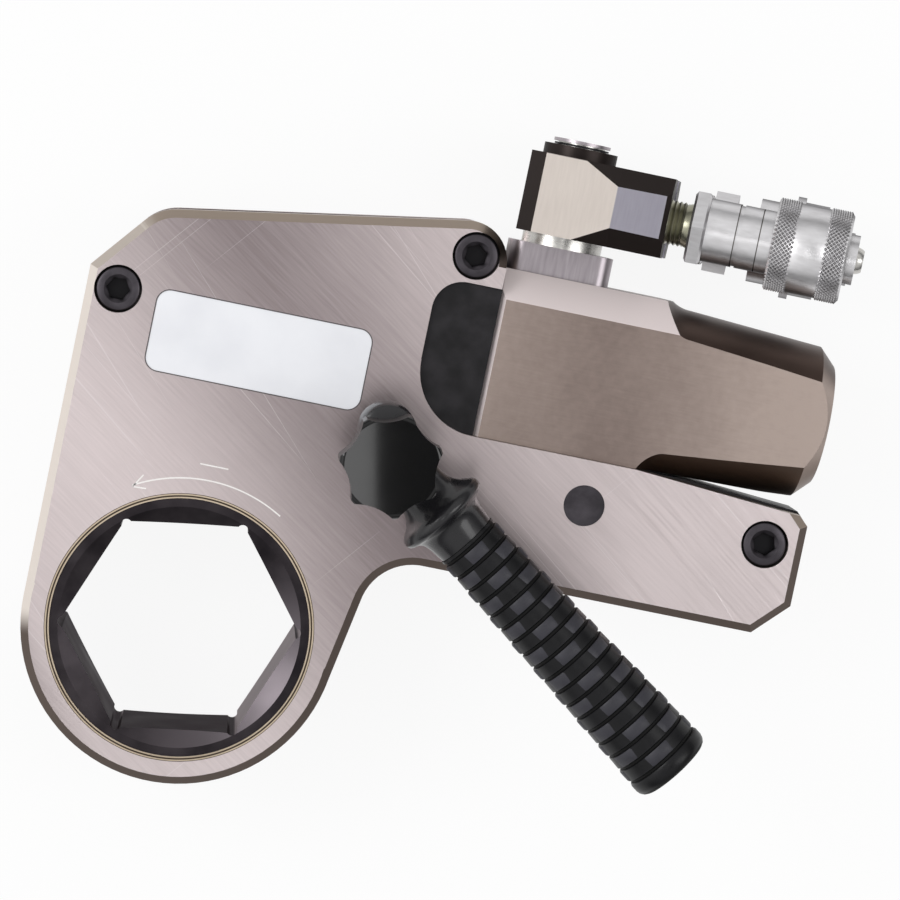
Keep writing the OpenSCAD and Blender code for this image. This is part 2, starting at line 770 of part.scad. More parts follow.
module swivel_block() {
    mid = block_h / 2;
    color([0.6, 0.58, 0.56]) with_swivel() translate([0, block_y, 0]) difference() {
        rotate([-90, 0, 0]) {
            linear_extrude(block_h) block_plan();
            cylinder(d = boss_d, h = block_h + boss_h);
        }
        translate([0, -over, 0]) rotate([-90, 0, 0])
            cylinder(d = post_d + 2 * fit, h = block_h + boss_h + 2 * over);
        for (m = [0, 1], n = [0, 1])
            mirror([0, 0, m]) translate([0, mid, 0]) mirror([0, n, 0]) arm_edge_cut(mid);
        for (m = [0, 1]) mirror([0, 0, m]) translate([arm_reach - nipple_in, coupler_up, coupler_z])
            rotate([0, 90, 0]) cylinder(d = nipple_d + 2 * fit, h = nipple_in + over);
    }
}
// Long bevel on an outer edge of an arm, running out towards the hub
module arm_edge_cut(mid) {
    polyhedron(
        [for (x = [taper_x, taper_x + taper_l, arm_reach + over], c = [0, 1, 2])
            let (d = x == taper_x ? 0 : x > arm_reach ? arm_bevel + face_fall : arm_bevel)
            c == 0 ? [x, mid + over, block_half_z - d - over]
                : c == 1 ? [x, mid - d - over, block_half_z + over]
                : [x, mid + over, block_half_z + over]],
        [[0, 2, 1], [0, 1, 4, 3], [3, 4, 7, 6], [1, 2, 5, 4],
            [4, 5, 8, 7], [2, 0, 3, 5], [5, 3, 6, 8], [6, 7, 8]]
    );
}

ring_out = 1.2;
ring_slot = 3;
module swivel_snap_ring() {
    color("dimgray") on_post(block_top_y + 2 * seat) difference() {
        cylinder(d = post_d + 2 * ring_out, h = ring_h);
        translate([0, 0, -over]) cylinder(r = post_d / 2 - ring_groove + fit, h = ring_h + 2 * over);
        translate([0, -ring_slot / 2, -over]) cube([post_d, ring_slot, ring_h + 2 * over]);
    }
}

cap_d = 17;
cap_h = 0.9;
cap_rim = 2.5;
cap_dish = 0.4;
module swivel_cap() {
    color("gainsboro") on_post(base_y + base_h + flange_h + block_h + boss_h + post_out + seat) difference() {
        cylinder(d = cap_d, h = cap_h);
        translate([0, 0, cap_h - cap_dish]) cylinder(d = cap_d - 2 * cap_rim, h = cap_dish + over);
    }
}

// Couplers: drawn along +X from the end of an arm of the swivel block
nipple_d = 13.2;
nipple_in = 9;
nipple_out = 6.6;
nut_l = 4.8;
coupler_up = 10.9;
coupler_y = block_y + coupler_up;
module at_coupler(side, x) {
    with_swivel() translate([x, coupler_y, side * coupler_z]) rotate([0, 90, 0]) children();
}
nut_x = arm_reach + nipple_out;
coupler_x = nut_x + nut_l;
socket_d = 10;
plug_in = 4;
module nipple(side) {
    color([0.75, 0.73, 0.6]) {
        at_coupler(side, arm_reach - nipple_in + seat) cylinder(d = nipple_d, h = nipple_in + nipple_out);
        at_coupler(side, nut_x) difference() {
            cylinder(d = coupler_af / cos(30), h = nut_l, $fn = 6);
            translate([0, 0, nut_l - plug_in]) cylinder(d = socket_d + 2 * fit, h = plug_in + over);
        }
    }
}
module nipple_front() nipple(1);
module nipple_rear() nipple(-1);

body_front_l = 20;
stem_nose_d = 14.6;
collar_set = 20.4;
collar_x = coupler_x + collar_set;
collar_l = 20.6;
nose_l = 44.4;
nose_end_x = coupler_x + nose_l;
body_tail = 5;
poppet_d = 8;
poppet_l = 9;
poppet_out = 2;
poppet_room = 6;
clip_t = 1.2;
clip_set = 2.3;
clip_deep = 1;
line_x = 9;
line_w = 1;
line_deep = 0.4;
module coupler_body_front() {
    color("lightgray") difference() {
        union() {
            at_coupler(1, coupler_x) cylinder(d = coupler_d, h = body_front_l + body_tail);
            at_coupler(1, coupler_x - plug_in + seat) cylinder(d = socket_d, h = plug_in + over);
            at_coupler(1, coupler_x) cylinder(d = stem_nose_d, h = nose_end_x - coupler_x);
        }
        at_coupler(1, nose_end_x - poppet_l - poppet_room)
            cylinder(d = poppet_d + 2 * fit, h = poppet_l + poppet_room + over);
        at_coupler(1, coupler_x + body_front_l + clip_set) difference() {
            cylinder(d = coupler_d + over, h = clip_t + 2 * seat);
            translate([0, 0, -over])
                cylinder(d = coupler_d - 2 * clip_deep, h = clip_t + 2 * over + 2 * seat);
        }
        at_coupler(1, coupler_x + line_x) difference() {
            cylinder(d = coupler_d + over, h = line_w);
            translate([0, 0, -over]) cylinder(d = coupler_d - 2 * line_deep, h = line_w + 2 * over);
        }
    }
}

// Spin collar with two knurled bands, held on the body by a wire ring
band_l = 5.2;
band_step = 0.7;
smooth_d = collar_d - 2 * band_step;
mouth_d = 24;
mouth_l = 14.5;
module coupler_collar() {
    color("gainsboro") at_coupler(1, collar_x) difference() {
        union() {
            cylinder(d = collar_d, h = band_l);
            cylinder(d = smooth_d, h = collar_l);
            translate([0, 0, collar_l - band_l - 1]) cylinder(d = collar_d, h = band_l + 1);
        }
        translate([0, 0, -over]) cylinder(d = coupler_d + 2 * fit, h = collar_l + 2 * over);
        translate([0, 0, body_front_l + clip_set + seat - collar_set - free])
            cylinder(d = coupler_d + 2 * clip_deep + free + seat, h = clip_t + 2 * free);
        translate([0, 0, collar_l - mouth_l]) cylinder(d = mouth_d, h = mouth_l + over);
    }
}

module collar_ring() {
    color("dimgray") at_coupler(1, coupler_x + body_front_l + clip_set + seat) difference() {
        cylinder(d = coupler_d + 2 * clip_deep, h = clip_t);
        translate([0, 0, -over]) cylinder(d = coupler_d - 2 * clip_deep + 2 * fit, h = clip_t + 2 * over);
    }
}

poppet_dome = 2.4;
module poppet(side, end_x) {
    color("white") at_coupler(side, end_x + poppet_out - poppet_l) {
        cylinder(d = poppet_d, h = poppet_l - poppet_dome);
        translate([0, 0, poppet_l - poppet_dome]) intersection() {
            sphere(d = poppet_d);
            cylinder(d = poppet_d, h = poppet_dome);
        }
    }
}
poppet_spring_r = 2.9;
poppet_wire = 0.5;
module poppet_spring(side, end_x) {
    color("silver") at_coupler(side, end_x - poppet_l - poppet_room + seat)
        coil(poppet_spring_r, poppet_wire, poppet_room + poppet_out - 2 * seat, 5);
}
module poppet_front() poppet(1, nose_end_x);
module poppet_spring_front() poppet_spring(1, nose_end_x);

// Male half: hexagon, two flanges and the threaded nose, by distance from the nipple
rear_end = 43;
rear_hex_l = 7;
rear_steps = [
    [7, 6.7, 9], [13.7, 6.3, 12.6], [20, 4.2, 11],
    [24.2, 2.5, 15.4], [26.7, 7.3, 14.1], [34, 9, 8]
];
module coupler_body_rear() {
    color("gainsboro") difference() {
        union() {
            at_coupler(-1, coupler_x) rotate([0, 0, 30])
                cylinder(d = coupler_af / cos(30), h = rear_hex_l, $fn = 6);
            at_coupler(-1, coupler_x - plug_in + seat) cylinder(d = socket_d, h = plug_in + 2 * over);
            for (s = rear_steps) at_coupler(-1, coupler_x + s[0] - 0.01) cylinder(r = s[2], h = s[1] + 0.01);
        }
        at_coupler(-1, coupler_x + rear_end - poppet_l - poppet_room)
            cylinder(d = poppet_d + 2 * fit, h = poppet_l + poppet_room + over);
    }
}
module poppet_rear() poppet(-1, coupler_x + rear_end);
module poppet_spring_rear() poppet_spring(-1, coupler_x + rear_end);

// Handle: drawn along +X from the knob's axis
stud_d = 10;
standoff_d = 20;
stem_z = z_out + handle_rise;
eye_h = stem_d;
eye_low = stem_z - eye_h / 2;
eye_high = stem_z + eye_h / 2;
washer_t = 1.5;
washer_d = 19;
guard_x = 20.4;
guard_d = 27.8;
guard_t = 3;
grip_x = 32;
core_d = 11;
grip_roof = 6;
knob_roof = 5;
boss_step = 1;
neck_x = 12;
flare_x = 16.6;
neck_in = 1.2;
flare_in = 0.2;
guard_round = 1;
hollow_out = 1;
hollow_l = 2.2;
ferrule_in = 0.6;
stem_side = 1.1;
stem_fit = 1;
boss_at = [-2, 7.9];
eye_boss_r = 8.4;
module at_knob(z) {
    translate([knob_at[0], knob_at[1], z]) children();
}
module along_handle(x) {
    at_knob(stem_z) rotate([0, 0, handle_turn]) translate([x, stem_side, 0]) rotate([0, 90, 0]) children();
}
module handle_standoff() {
    color([0.1, 0.1, 0.1]) at_knob(z_out) difference() {
        cylinder(d = standoff_d, h = eye_low - z_out - seat);
        translate([0, 0, -over]) cylinder(d = stud_d + 2 * fit, h = handle_rise + 2 * over);
    }
}

module handle_stem() {
    color([0.09, 0.09, 0.09]) difference() {
        union() {
            at_knob(eye_low) cylinder(d = standoff_d, h = eye_h);
            at_knob(eye_low) translate(boss_at) cylinder(r = eye_boss_r, h = eye_h - boss_step);
            along_handle(0) cylinder(d = stem_d - stem_fit, h = guard_x + over);
            along_handle(0) rotate_extrude() polygon([
                [0, neck_x], [stem_d / 2 - neck_in, neck_x], [stem_d / 2 - flare_in, flare_x],
                [guard_d / 2 - guard_round, guard_x - guard_round], [guard_d / 2, guard_x],
                [guard_d / 2, guard_x + guard_t - guard_round], [guard_d / 2 - guard_round, guard_x + guard_t],
                [grip_d1 / 2 + hollow_out, guard_x + guard_t + hollow_l],
                [grip_d1 / 2 - ferrule_in, grip_x - seat], [0, grip_x - seat]
            ]);
            along_handle(grip_x - over) cylinder(d = core_d, h = grip_l - grip_roof);
        }
        at_knob(eye_low - over) cylinder(d = stud_d + 2 * fit, h = eye_h + 2 * over);
    }
}

// Grip: a tapered sleeve with grooves at an even pitch
groove_pitch = 4.83;
groove_w = 1.1;
groove_depth = 1;
groove_first = 1.45;
groove_end = 4;
groove_n = floor((grip_l - groove_first - groove_end) / groove_pitch) + 1;
grip_end_round = 2.6;
grip_end_bevel = 1;
function grip_r(t) = (grip_d1 + (grip_d2 - grip_d1) * t / grip_l) / 2;
module handle_grip() {
    color([0.07, 0.07, 0.07]) along_handle(grip_x) difference() {
        rotate_extrude() difference() {
            union() {
                polygon(concat([[0, 0]], [for (k = [0 : groove_n - 1])
                    let (t = groove_first + k * groove_pitch, w = groove_w / 2)
                    each [
                        [grip_r(t - w), t - w], [grip_r(t) - groove_depth, t - w],
                        [grip_r(t) - groove_depth, t + w], [grip_r(t + w), t + w]
                    ]],
                    [[grip_r(grip_l - grip_end_round), grip_l - grip_end_round],
                    [grip_r(grip_l) - grip_end_bevel, grip_l - grip_end_bevel],
                    [grip_r(grip_l) - grip_end_round, grip_l], [0, grip_l]]));
            }
            square([core_d / 2 + fit, grip_l - grip_roof]);
        }
    }
}

module handle_stud() {
    color("silver") at_knob(z_in + over)
        cylinder(d = stud_d, h = eye_high + knob_h - knob_roof - z_in - over);
}

module knob_washer() {
    color("silver") at_knob(eye_high + seat) difference() {
        cylinder(d = washer_d, h = washer_t);
        translate([0, 0, -over]) cylinder(d = stud_d + 2 * fit, h = washer_t + 2 * over);
    }
}

// Star knob: seven points between hollow flutes, with a rounded rim
point_n = 7;
point_land = 2.5;
point_turn = 13.2;
flute_r = 15;
flute_half = 180 / point_n - point_land;
flute_at = knob_r * cos(flute_half) + sqrt(pow(flute_r, 2) - pow(knob_r * sin(flute_half), 2));
knob_round = 1.6;
module knob() {
    color([0.05, 0.05, 0.05]) at_knob(eye_high + seat + washer_t + seat) difference() {
        rotate_extrude($fn = 96) {
            square([knob_r - knob_round, knob_h]);
            square([knob_r, knob_h - knob_round]);
            translate([knob_r - knob_round, knob_h - knob_round]) intersection() {
                circle(knob_round);
                square(knob_round);
            }
        }
        for (k = [0 : point_n - 1]) rotate([0, 0, handle_turn + point_turn + 360 * (k + 0.5) / point_n])
            translate([flute_at, 0, -over]) cylinder(r = flute_r, h = knob_h + 2 * over, $fn = 96);
        translate([0, 0, -over]) cylinder(d = stud_d + 2 * fit, h = knob_h - knob_roof + over);
    }
}

side_plate_front();
side_plate_rear();
spacer_sleeves();
arm_spacer();
cassette_screws();
bush_front();
bush_rear();
label_plate();
shroud();
retaining_pin();
ratchet();
drive_plate_front();
drive_plate_rear();
crank_block();
crank_rivets();
drive_pin();
pawl();
pawl_spring();
cylinder_body();
gland();
rod_seal();
piston_rod();
piston();
piston_seal();
swivel_base();
swivel_post();
swivel_seals();
swivel_block();
swivel_snap_ring();
swivel_cap();
nipple_front();
nipple_rear();
coupler_body_front();
coupler_collar();
collar_ring();
poppet_front();
poppet_spring_front();
coupler_body_rear();
poppet_rear();
poppet_spring_rear();
handle_standoff();
handle_stem();
handle_grip();
handle_stud();
knob_washer();
knob();
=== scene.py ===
import math

import bmesh
import bpy
from mathutils import Matrix, Vector


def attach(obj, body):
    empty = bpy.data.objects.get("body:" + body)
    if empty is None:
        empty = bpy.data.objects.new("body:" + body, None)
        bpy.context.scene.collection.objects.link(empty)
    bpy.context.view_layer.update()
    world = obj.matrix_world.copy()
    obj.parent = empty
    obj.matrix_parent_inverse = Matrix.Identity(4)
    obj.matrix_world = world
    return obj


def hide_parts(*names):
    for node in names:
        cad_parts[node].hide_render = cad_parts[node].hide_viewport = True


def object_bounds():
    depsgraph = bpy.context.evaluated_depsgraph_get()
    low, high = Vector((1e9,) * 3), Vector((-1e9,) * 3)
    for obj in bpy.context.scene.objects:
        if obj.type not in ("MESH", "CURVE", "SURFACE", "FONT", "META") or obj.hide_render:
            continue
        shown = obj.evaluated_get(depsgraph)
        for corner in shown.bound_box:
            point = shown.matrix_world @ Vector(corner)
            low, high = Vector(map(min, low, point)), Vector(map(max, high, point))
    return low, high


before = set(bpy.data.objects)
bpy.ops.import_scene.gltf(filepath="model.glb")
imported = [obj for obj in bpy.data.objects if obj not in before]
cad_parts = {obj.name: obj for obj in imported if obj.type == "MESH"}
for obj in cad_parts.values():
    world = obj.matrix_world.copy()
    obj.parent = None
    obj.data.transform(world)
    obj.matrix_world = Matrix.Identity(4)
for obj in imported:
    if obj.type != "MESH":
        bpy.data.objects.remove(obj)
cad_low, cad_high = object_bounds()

# Camera: nearly square on to the front plate, from well back, with the wrench turned so that the
# cylinder points a little down to the right.
mm = 0.001
scene = bpy.context.scene
camera = bpy.data.objects.new("camera", bpy.data.cameras.new("camera"))
scene.collection.objects.link(camera)
scene.camera = camera
camera_at = Vector((-0.01075, 0.14208, 1.2444))
camera_aim = Vector((0.06709, 0.0669, 0.0205))
camera_up = Vector((-0.19956, 0.97718, -0.07272))
camera_back = (camera_at - camera_aim).normalized()
camera_right = camera_up.cross(camera_back).normalized()
camera.matrix_world = Matrix.Translation(camera_at) @ Matrix(
    (camera_right, camera_back.cross(camera_right), camera_back)
).transposed().to_4x4()
camera.data.sensor_width = 36
camera.data.lens = 168
camera.data.clip_start = 0.05
camera.data.clip_end = 20
scene.view_settings.view_transform = "Standard"

# Studio: a white floor under the wrench, soft boxes to the left and the right, and a room that is
# bright overhead and on the left, dark towards the horizon, with the camera's dark opening above.
floor_z, floor_half = cad_low.z, 3
floor_corners = [(x * floor_half, y * floor_half, floor_z) for x, y in ((-1, -1), (1, -1), (1, 1), (-1, 1))]
floor_mesh = bpy.data.meshes.new("floor")
floor_mesh.from_pydata(floor_corners, [], [(0, 1, 2, 3)])
floor = bpy.data.objects.new("floor", floor_mesh)
scene.collection.objects.link(floor)


class Sum:
    """One value in a node tree. Arithmetic on it adds Math nodes, and node adds any other node."""

    def __init__(self, tree, socket=None):
        self.tree = tree
        self.socket = socket

    def node(self, kind, settings=None, inputs=None, out=0):
        made = self.tree.nodes.new(kind)
        for key, value in (settings or {}).items():
            setattr(made, key, value)
        for key, value in (inputs or {}).items():
            if isinstance(value, Sum):
                self.tree.links.new(value.socket, made.inputs[key])
            else:
                made.inputs[key].default_value = value
        return Sum(self.tree, made.outputs[out])

    def math(self, operation, *values):
        return self.node("ShaderNodeMath", {"operation": operation}, dict(enumerate(values)))

    def __add__(self, other):
        return self.math("ADD", self, other)

    __radd__ = __add__

    def __sub__(self, other):
        return self.math("SUBTRACT", self, other)

    def __rsub__(self, other):
        return self.math("SUBTRACT", other, self)

    def __mul__(self, other):
        return self.math("MULTIPLY", self, other)

    def step(self, low, high):
        return self.node(
            "ShaderNodeMapRange",
            {"interpolation_type": "SMOOTHSTEP"},
            {"Value": self, "From Min": low, "From Max": high, "To Min": 0.0, "To Max": 1.0},
        )

    def mix(self, a, b):
        made = self.tree.nodes.new("ShaderNodeMix")
        made.data_type = "RGBA"
        self.tree.links.new(self.socket, made.inputs["Factor"])
        for key, value in ((6, a), (7, b)):
            if isinstance(value, Sum):
                self.tree.links.new(value.socket, made.inputs[key])
            else:
                made.inputs[key].default_value = (*value, 1)
        return Sum(self.tree, made.outputs[2])


class Finish(Sum):
    """A material whose shader is set by name, with the texture nodes that the finishes share."""

    def __init__(self, name, **constants):
        self.material = bpy.data.materials.new(name)
        self.material.use_nodes = True
        super().__init__(self.material.node_tree)
        self.shader = self.tree.nodes["Principled BSDF"]
        for key, value in constants.items():
            self.shader.inputs[key.replace("_", " ")].default_value = value
        self.place = self.node("ShaderNodeTexCoord", out=3)

    def noise(self, scale, stretch=(1, 1, 1), turn=0, detail=3.0):
        """Noise in object space, squeezed along the axes of a frame turned about Z by some degrees."""
        place = self.node(
            "ShaderNodeMapping",
            {"vector_type": "TEXTURE"},
            {
                "Vector": self.place,
                "Rotation": (0, 0, math.radians(turn)),
                "Scale": tuple(1 / s for s in stretch),
            },
        )
        return self.node("ShaderNodeTexNoise", {}, {"Vector": place, "Scale": scale, "Detail": detail})

    def way(self, direction, turned=False):
        """How far the place, or with turned the surface's normal, points in a direction."""
        vector = self.node("ShaderNodeTexCoord", out=1) if turned else self.place
        return self.node(
            "ShaderNodeVectorMath", {"operation": "DOT_PRODUCT"}, {0: vector, 1: tuple(direction)}, out=1
        )

    def limit(self, value):
        return self.math("MINIMUM", self.math("MAXIMUM", value, 0.0), 1.0)

    def set(self, **links):
        for key, value in links.items():
            self.tree.links.new(value.socket, self.shader.inputs[key.replace("_", " ")])

    def bump(self, height, distance):
        self.set(Normal=self.node("ShaderNodeBump", {}, {"Height": height, "Distance": distance}))


floor_finish = Finish("floor", Roughness=0.9)
floor_finish.shader.inputs["Base Color"].default_value = (0.8, 0.8, 0.8, 1)
rays = floor_finish.node("ShaderNodeLightPath")
ray_names = ("Is Camera Ray", "Is Glossy Ray", "Is Transmission Ray")
shown = [Sum(floor_finish.tree, rays.socket.node.outputs[name]) for name in ray_names]
glow = floor_finish.node("ShaderNodeEmission", {}, {"Color": (1, 1, 1, 1), "Strength": 1.0})
plain = Sum(floor_finish.tree, floor_finish.shader.outputs[0])
shown_part = floor_finish.limit(shown[0] + shown[1] + shown[2]) * 0.9
floor_mix = floor_finish.node("ShaderNodeMixShader", {}, {0: shown_part, 1: plain, 2: glow})
floor_finish.tree.links.new(floor_mix.socket, floor_finish.tree.nodes["Material Output"].inputs["Surface"])
floor_mesh.materials.append(floor_finish.material)

world = bpy.data.worlds.new("room")
world.use_nodes = True
scene.world = world
room = Sum(world.node_tree)
room_back = world.node_tree.nodes["Background"]
heading = room.node("ShaderNodeTexCoord", out=0)
image_right = Vector((0.979, 0.2036, 0))
image_up = Vector((-0.2036, 0.979, 0))


def facing(direction):
    return room.node(
        "ShaderNodeVectorMath", {"operation": "DOT_PRODUCT"}, {0: heading, 1: tuple(direction)}, out=1
    )


overhead = facing((0, 0, 1)).step(0.1, 0.7)
from_left = facing(-image_right + Vector((0, 0, 0.25))).step(0.5, 1.0)
opening = facing(Vector((0.05, -0.06, 1)).normalized()).step(0.965, 0.99)
from_top = facing(image_up + Vector((0, 0, 0.3))).step(0.5, 1.0)
level = (0.1 + overhead * 0.68 + from_left * 0.8 + from_top * 0.2) * (1 - opening * 0.75)
room.tree.links.new(level.socket, room_back.inputs["Strength"])
room_back.inputs["Color"].default_value = (1, 1, 1, 1)


def soft_box(name, place, aim, size, watts, across):
    lamp = bpy.data.objects.new(name, bpy.data.lights.new(name, "AREA"))
    scene.collection.objects.link(lamp)
    lamp.data.shape = "RECTANGLE"
    lamp.data.size, lamp.data.size_y = size
    lamp.data.energy = watts
    back = (Vector(place) - Vector(aim)).normalized()
    up = back.cross(Vector(across)).normalized()
    axes = Matrix((up.cross(back), up, back)).transposed().to_4x4()
    lamp.matrix_world = Matrix.Translation(place) @ axes


soft_box("key_light", (-0.8, 0.25, 0.9), (0.06, 0.06, 0), (0.5, 0.5), 4, (0, 1, 0))
soft_box("fill_light", (0.7, 0.2, 0.8), (0.06, 0.06, 0), (0.35, 0.6), 2, (0, 1, 0))
soft_box("strip_light", (0.0168, -0.0543, 1.477), (0.0168, -0.0543, 0), (0.19, 0.3), 0.6, image_right)

# Side plates: cut from thick steel plate, nickel plated and brushed across; handling has left fine
# scratches, most of them slanting. Painted light is part of the colour: highlight and shade on the bevels,
# a band of painted shade across the label, painted shade on the nose and painted light on the arm.
nickel = Finish("satin_nickel", Metallic=1.0)
grain = nickel.noise(60, (0.35, 22, 1), -37, 5.0)
grain_fine = nickel.noise(260, (0.2, 7, 1), -30, 3.0)
cloud = nickel.noise(13, detail=4.0)
# Painted shade in a wide band across the label and on the nose, painted light on the arm.
shade_band_way, shade_band_at, shade_band_half = (0.78, 0.62, 0), 69.8 * mm, 72 * mm
shade_band = nickel.math("ABSOLUTE", nickel.way(shade_band_way) - shade_band_at).step(-6 * mm, shade_band_half)
scratches = None
for turn, stretch, scale, least in (
    (-38, 160, 8, 0.74),
    (-47, 190, 7, 0.745),
    (50, 170, 8, 0.765),
):
    line = nickel.noise(scale, (0.8, stretch, 1), turn, 1.0).step(least, least + 0.02)
    scratches = line if scratches is None else nickel.math("MAXIMUM", scratches, line)
arm_light = nickel.way((1, 0, 0)).step(80 * mm, 150 * mm)
nose_shade = nickel.way((-0.8, -0.6, 0)).step(36 * mm, 47 * mm)
tone = shade_band * 0.82 + arm_light * 0.22 - nose_shade * 0.35
tone = tone + (grain - 0.5) * 0.28 + (grain_fine - 0.5) * 0.22 + (cloud - 0.5) * 0.5


def srgb(red, green, blue):
    return tuple(
        (v / 255 / 12.92) if v < 11 else ((v / 255 + 0.055) / 1.055) ** 2.4 for v in (red, green, blue)
    )


plated = nickel.limit(tone).mix(srgb(140, 129, 130), srgb(222, 210, 210))
plated = (scratches * 0.28).mix(plated, srgb(236, 229, 230))
# Bevels: a painted highlight on those facing left, painted half light on top, painted shade on the rest.
bevel = 1 - nickel.math("ABSOLUTE", nickel.way((0, 0, 1), True)).step(0.8, 0.95)
lit_left_bevel = nickel.way(-image_right, True).step(0.25, 0.6)
lit_left_bevel = lit_left_bevel * nickel.way(image_up, True).step(-0.03, 0.1)
half_lit_top_bevel = nickel.way(image_up, True).step(0.2, 0.5)
bevel_light_and_shade = lit_left_bevel.mix(half_lit_top_bevel.mix(srgb(98, 87, 81), srgb(178, 163, 150)), srgb(228, 219, 211))
plated = bevel.mix(plated, bevel_light_and_shade)
nickel.set(Base_Color=plated, Roughness=(grain - 0.5) * 0.14 + (cloud - 0.5) * 0.1 + 0.34)
nickel.bump(grain * 0.5 + grain_fine * 0.5 + scratches * 0.4, 0.000015)


def paint(finish, *names):
    for name in names:
        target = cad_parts[name]
        target.data.materials.clear()
        target.data.materials.append(finish.material)


paint(nickel, "side_plate_front", "side_plate_rear")

# Direction arrow and datum mark: shallow engraved lines in the front plate, bright at the bottom, as
# closed strips a few hundredths of a millimetre high.
engraved = Finish("engraved_line", Metallic=0.3, Roughness=0.5)
engraved.set(Base_Color=engraved.noise(300).mix(srgb(228, 224, 222), srgb(246, 244, 242)))
front_z = 20.5
mark_high = 0.03


class Shape:
    """Closed lofts, given as loops of points in millimetres, that become one piece on a body."""

    def __init__(self):
        self.points = []
        self.faces = []

    def loft(self, loops, place=Matrix(), ring=False):
        first = len(self.points)
        count = len(loops[0])
        for loop in loops:
            self.points += [place @ Vector(p) for p in loop]
        steps = len(loops) if ring else len(loops) - 1
        for i in range(steps):
            near = first + i * count
            far = first + (i + 1) % len(loops) * count
            for j in range(count):
                k = (j + 1) % count
                self.faces.append((near + j, near + k, far + k, far + j))
        if not ring:
            self.faces.append(tuple(range(first + count - 1, first - 1, -1)))
            self.faces.append(tuple(range(first + steps * count, first + (steps + 1) * count)))
        return self

    def lathe(self, profile, place=Matrix(), sides=96, ring=False):
        return self.loft([polygon_loop(x, r, sides) for x, r in profile], place, ring)

    def mesh(self, name, sharp=32):
        made = bpy.data.meshes.new(name)
        made.from_pydata([p * mm for p in self.points], [], self.faces)
        work = bmesh.new()
        work.from_mesh(made)
        bmesh.ops.recalc_face_normals(work, faces=work.faces)
        work.to_mesh(made)
        work.free()
        made.polygons.foreach_set("use_smooth", [True] * len(made.polygons))
        made.set_sharp_from_angle(angle=math.radians(sharp))
        return made

    def piece(self, name, finish, body, slot, *nodes):
        add_piece(self.mesh(name), name, finish, body, slot, *nodes)


def polygon_loop(x, r, sides, turn=0.0):
    return [
        (x, r * math.cos(turn + math.tau * k / sides), r * math.sin(turn + math.tau * k / sides))
        for k in range(sides)
    ]


def add_piece(mesh, name, finish, body, slot, *nodes):
    mesh.materials.clear()
    mesh.materials.append(finish.material)
    made = bpy.data.objects.new(name, mesh)
    scene.collection.objects.link(made)
    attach(made, body)
    if nodes:
        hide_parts(*nodes)


def engraved_strip(shape, path, width):
    left, right = [], []
    for i, here in enumerate(path):
        ahead = path[min(i + 1, len(path) - 1)]
        behind = path[max(i - 1, 0)]
        along = Vector((ahead[0] - behind[0], ahead[1] - behind[1])).normalized()
        side = Vector((-along.y, along.x)) * width / 2
        left.append((here[0] + side.x, here[1] + side.y))
        right.append((here[0] - side.x, here[1] - side.y))
    low, high = front_z - mark_high, front_z + mark_high
    shape.loft([
        [(*a, low), (*b, low), (*b, high), (*a, high)] for a, b in zip(left, right)
    ])


arrow_r, arrow_from, arrow_sweep, arrow_steps = 44.0, 59.5, 60.1, 32
arc_w, line_w = 0.42, 0.4
arrow = Shape()
arrow_path = [
    (arrow_r * math.cos(math.radians(a)), arrow_r * math.sin(math.radians(a)))
    for a in [arrow_from + arrow_sweep * k / arrow_steps for k in range(arrow_steps + 1)]
]
arrow_tip = (-21.5, 37.9)
engraved_strip(arrow, arrow_path, arc_w)
for barb in ((-19.1, 41.9), (-17.6, 38.1)):
    engraved_strip(arrow, [barb, arrow_tip], line_w)
datum_mark = [(-3.6, 48.4), (4.8, 48.4)]
engraved_strip(arrow, datum_mark, line_w)
arrow.piece("direction_arrow", engraved, "cassette", "nickel")

# Label: a thin plate let into the front plate, painted white and left bare, with a dark strip of painted
# shade in the gap round it.
label_paint = Finish("label_paint", Roughness=0.45)
label_cloud = label_paint.noise(45, detail=5.0).step(0.3, 0.8)
label_paint.set(Base_Color=label_cloud.mix(srgb(228, 229, 233), srgb(218, 219, 224)))
paint(label_paint, "label_plate")
# The dark strip in the gap is painted shade.
gap_shade = Finish("gap_painted_shade", Roughness=0.7)
gap_shade.set(Base_Color=gap_shade.noise(200).mix(srgb(58, 54, 56), srgb(92, 86, 88)))
label_at, label_w, label_h, label_round = (6.5, 84.347), 64.0, 24.0, 4.0
gap_in, gap_out, gap_low, corner_steps = -0.12, 0.2, -0.12, 8
gap_loops = []
for quarter in range(4):
    for k in range(corner_steps + 1):
        a = math.radians(90 * quarter + 90 * k / corner_steps)
        corner = math.radians(90 * quarter + 45)
        middle = (
            label_at[0] + math.copysign(label_w / 2 - label_round, math.cos(corner)),
            label_at[1] + math.copysign(label_h / 2 - label_round, math.sin(corner)),
        )
        gap_loop = []
        for r, z in ((gap_in, gap_low), (gap_out, gap_low), (gap_out, mark_high), (gap_in, mark_high)):
            out = label_round + r
            gap_loop.append((middle[0] + out * math.cos(a), middle[1] + out * math.sin(a), front_z + z))
        gap_loops.append(gap_loop)
Shape().loft(gap_loops, ring=True).piece("label_gap", gap_shade, "cassette", "nickel")

# Filler piece, arm block and small rings: machined steel, blackened and oiled. The filler sits in the
# plate's window and the block between the plates; the rings snap into grooves.
oxide = Finish("black_oxide", Metallic=0.6)
oxide_cloud = oxide.noise(140, detail=6.0)
oxide.set(
    Base_Color=oxide_cloud.step(0.25, 0.8).mix(srgb(20, 19, 21), srgb(43, 41, 44)),
    Roughness=oxide_cloud * 0.25 + 0.33,
)
oxide.bump(oxide_cloud, 0.00002)
paint(oxide, "shroud", "arm_spacer", "swivel_snap_ring", "collar_ring")
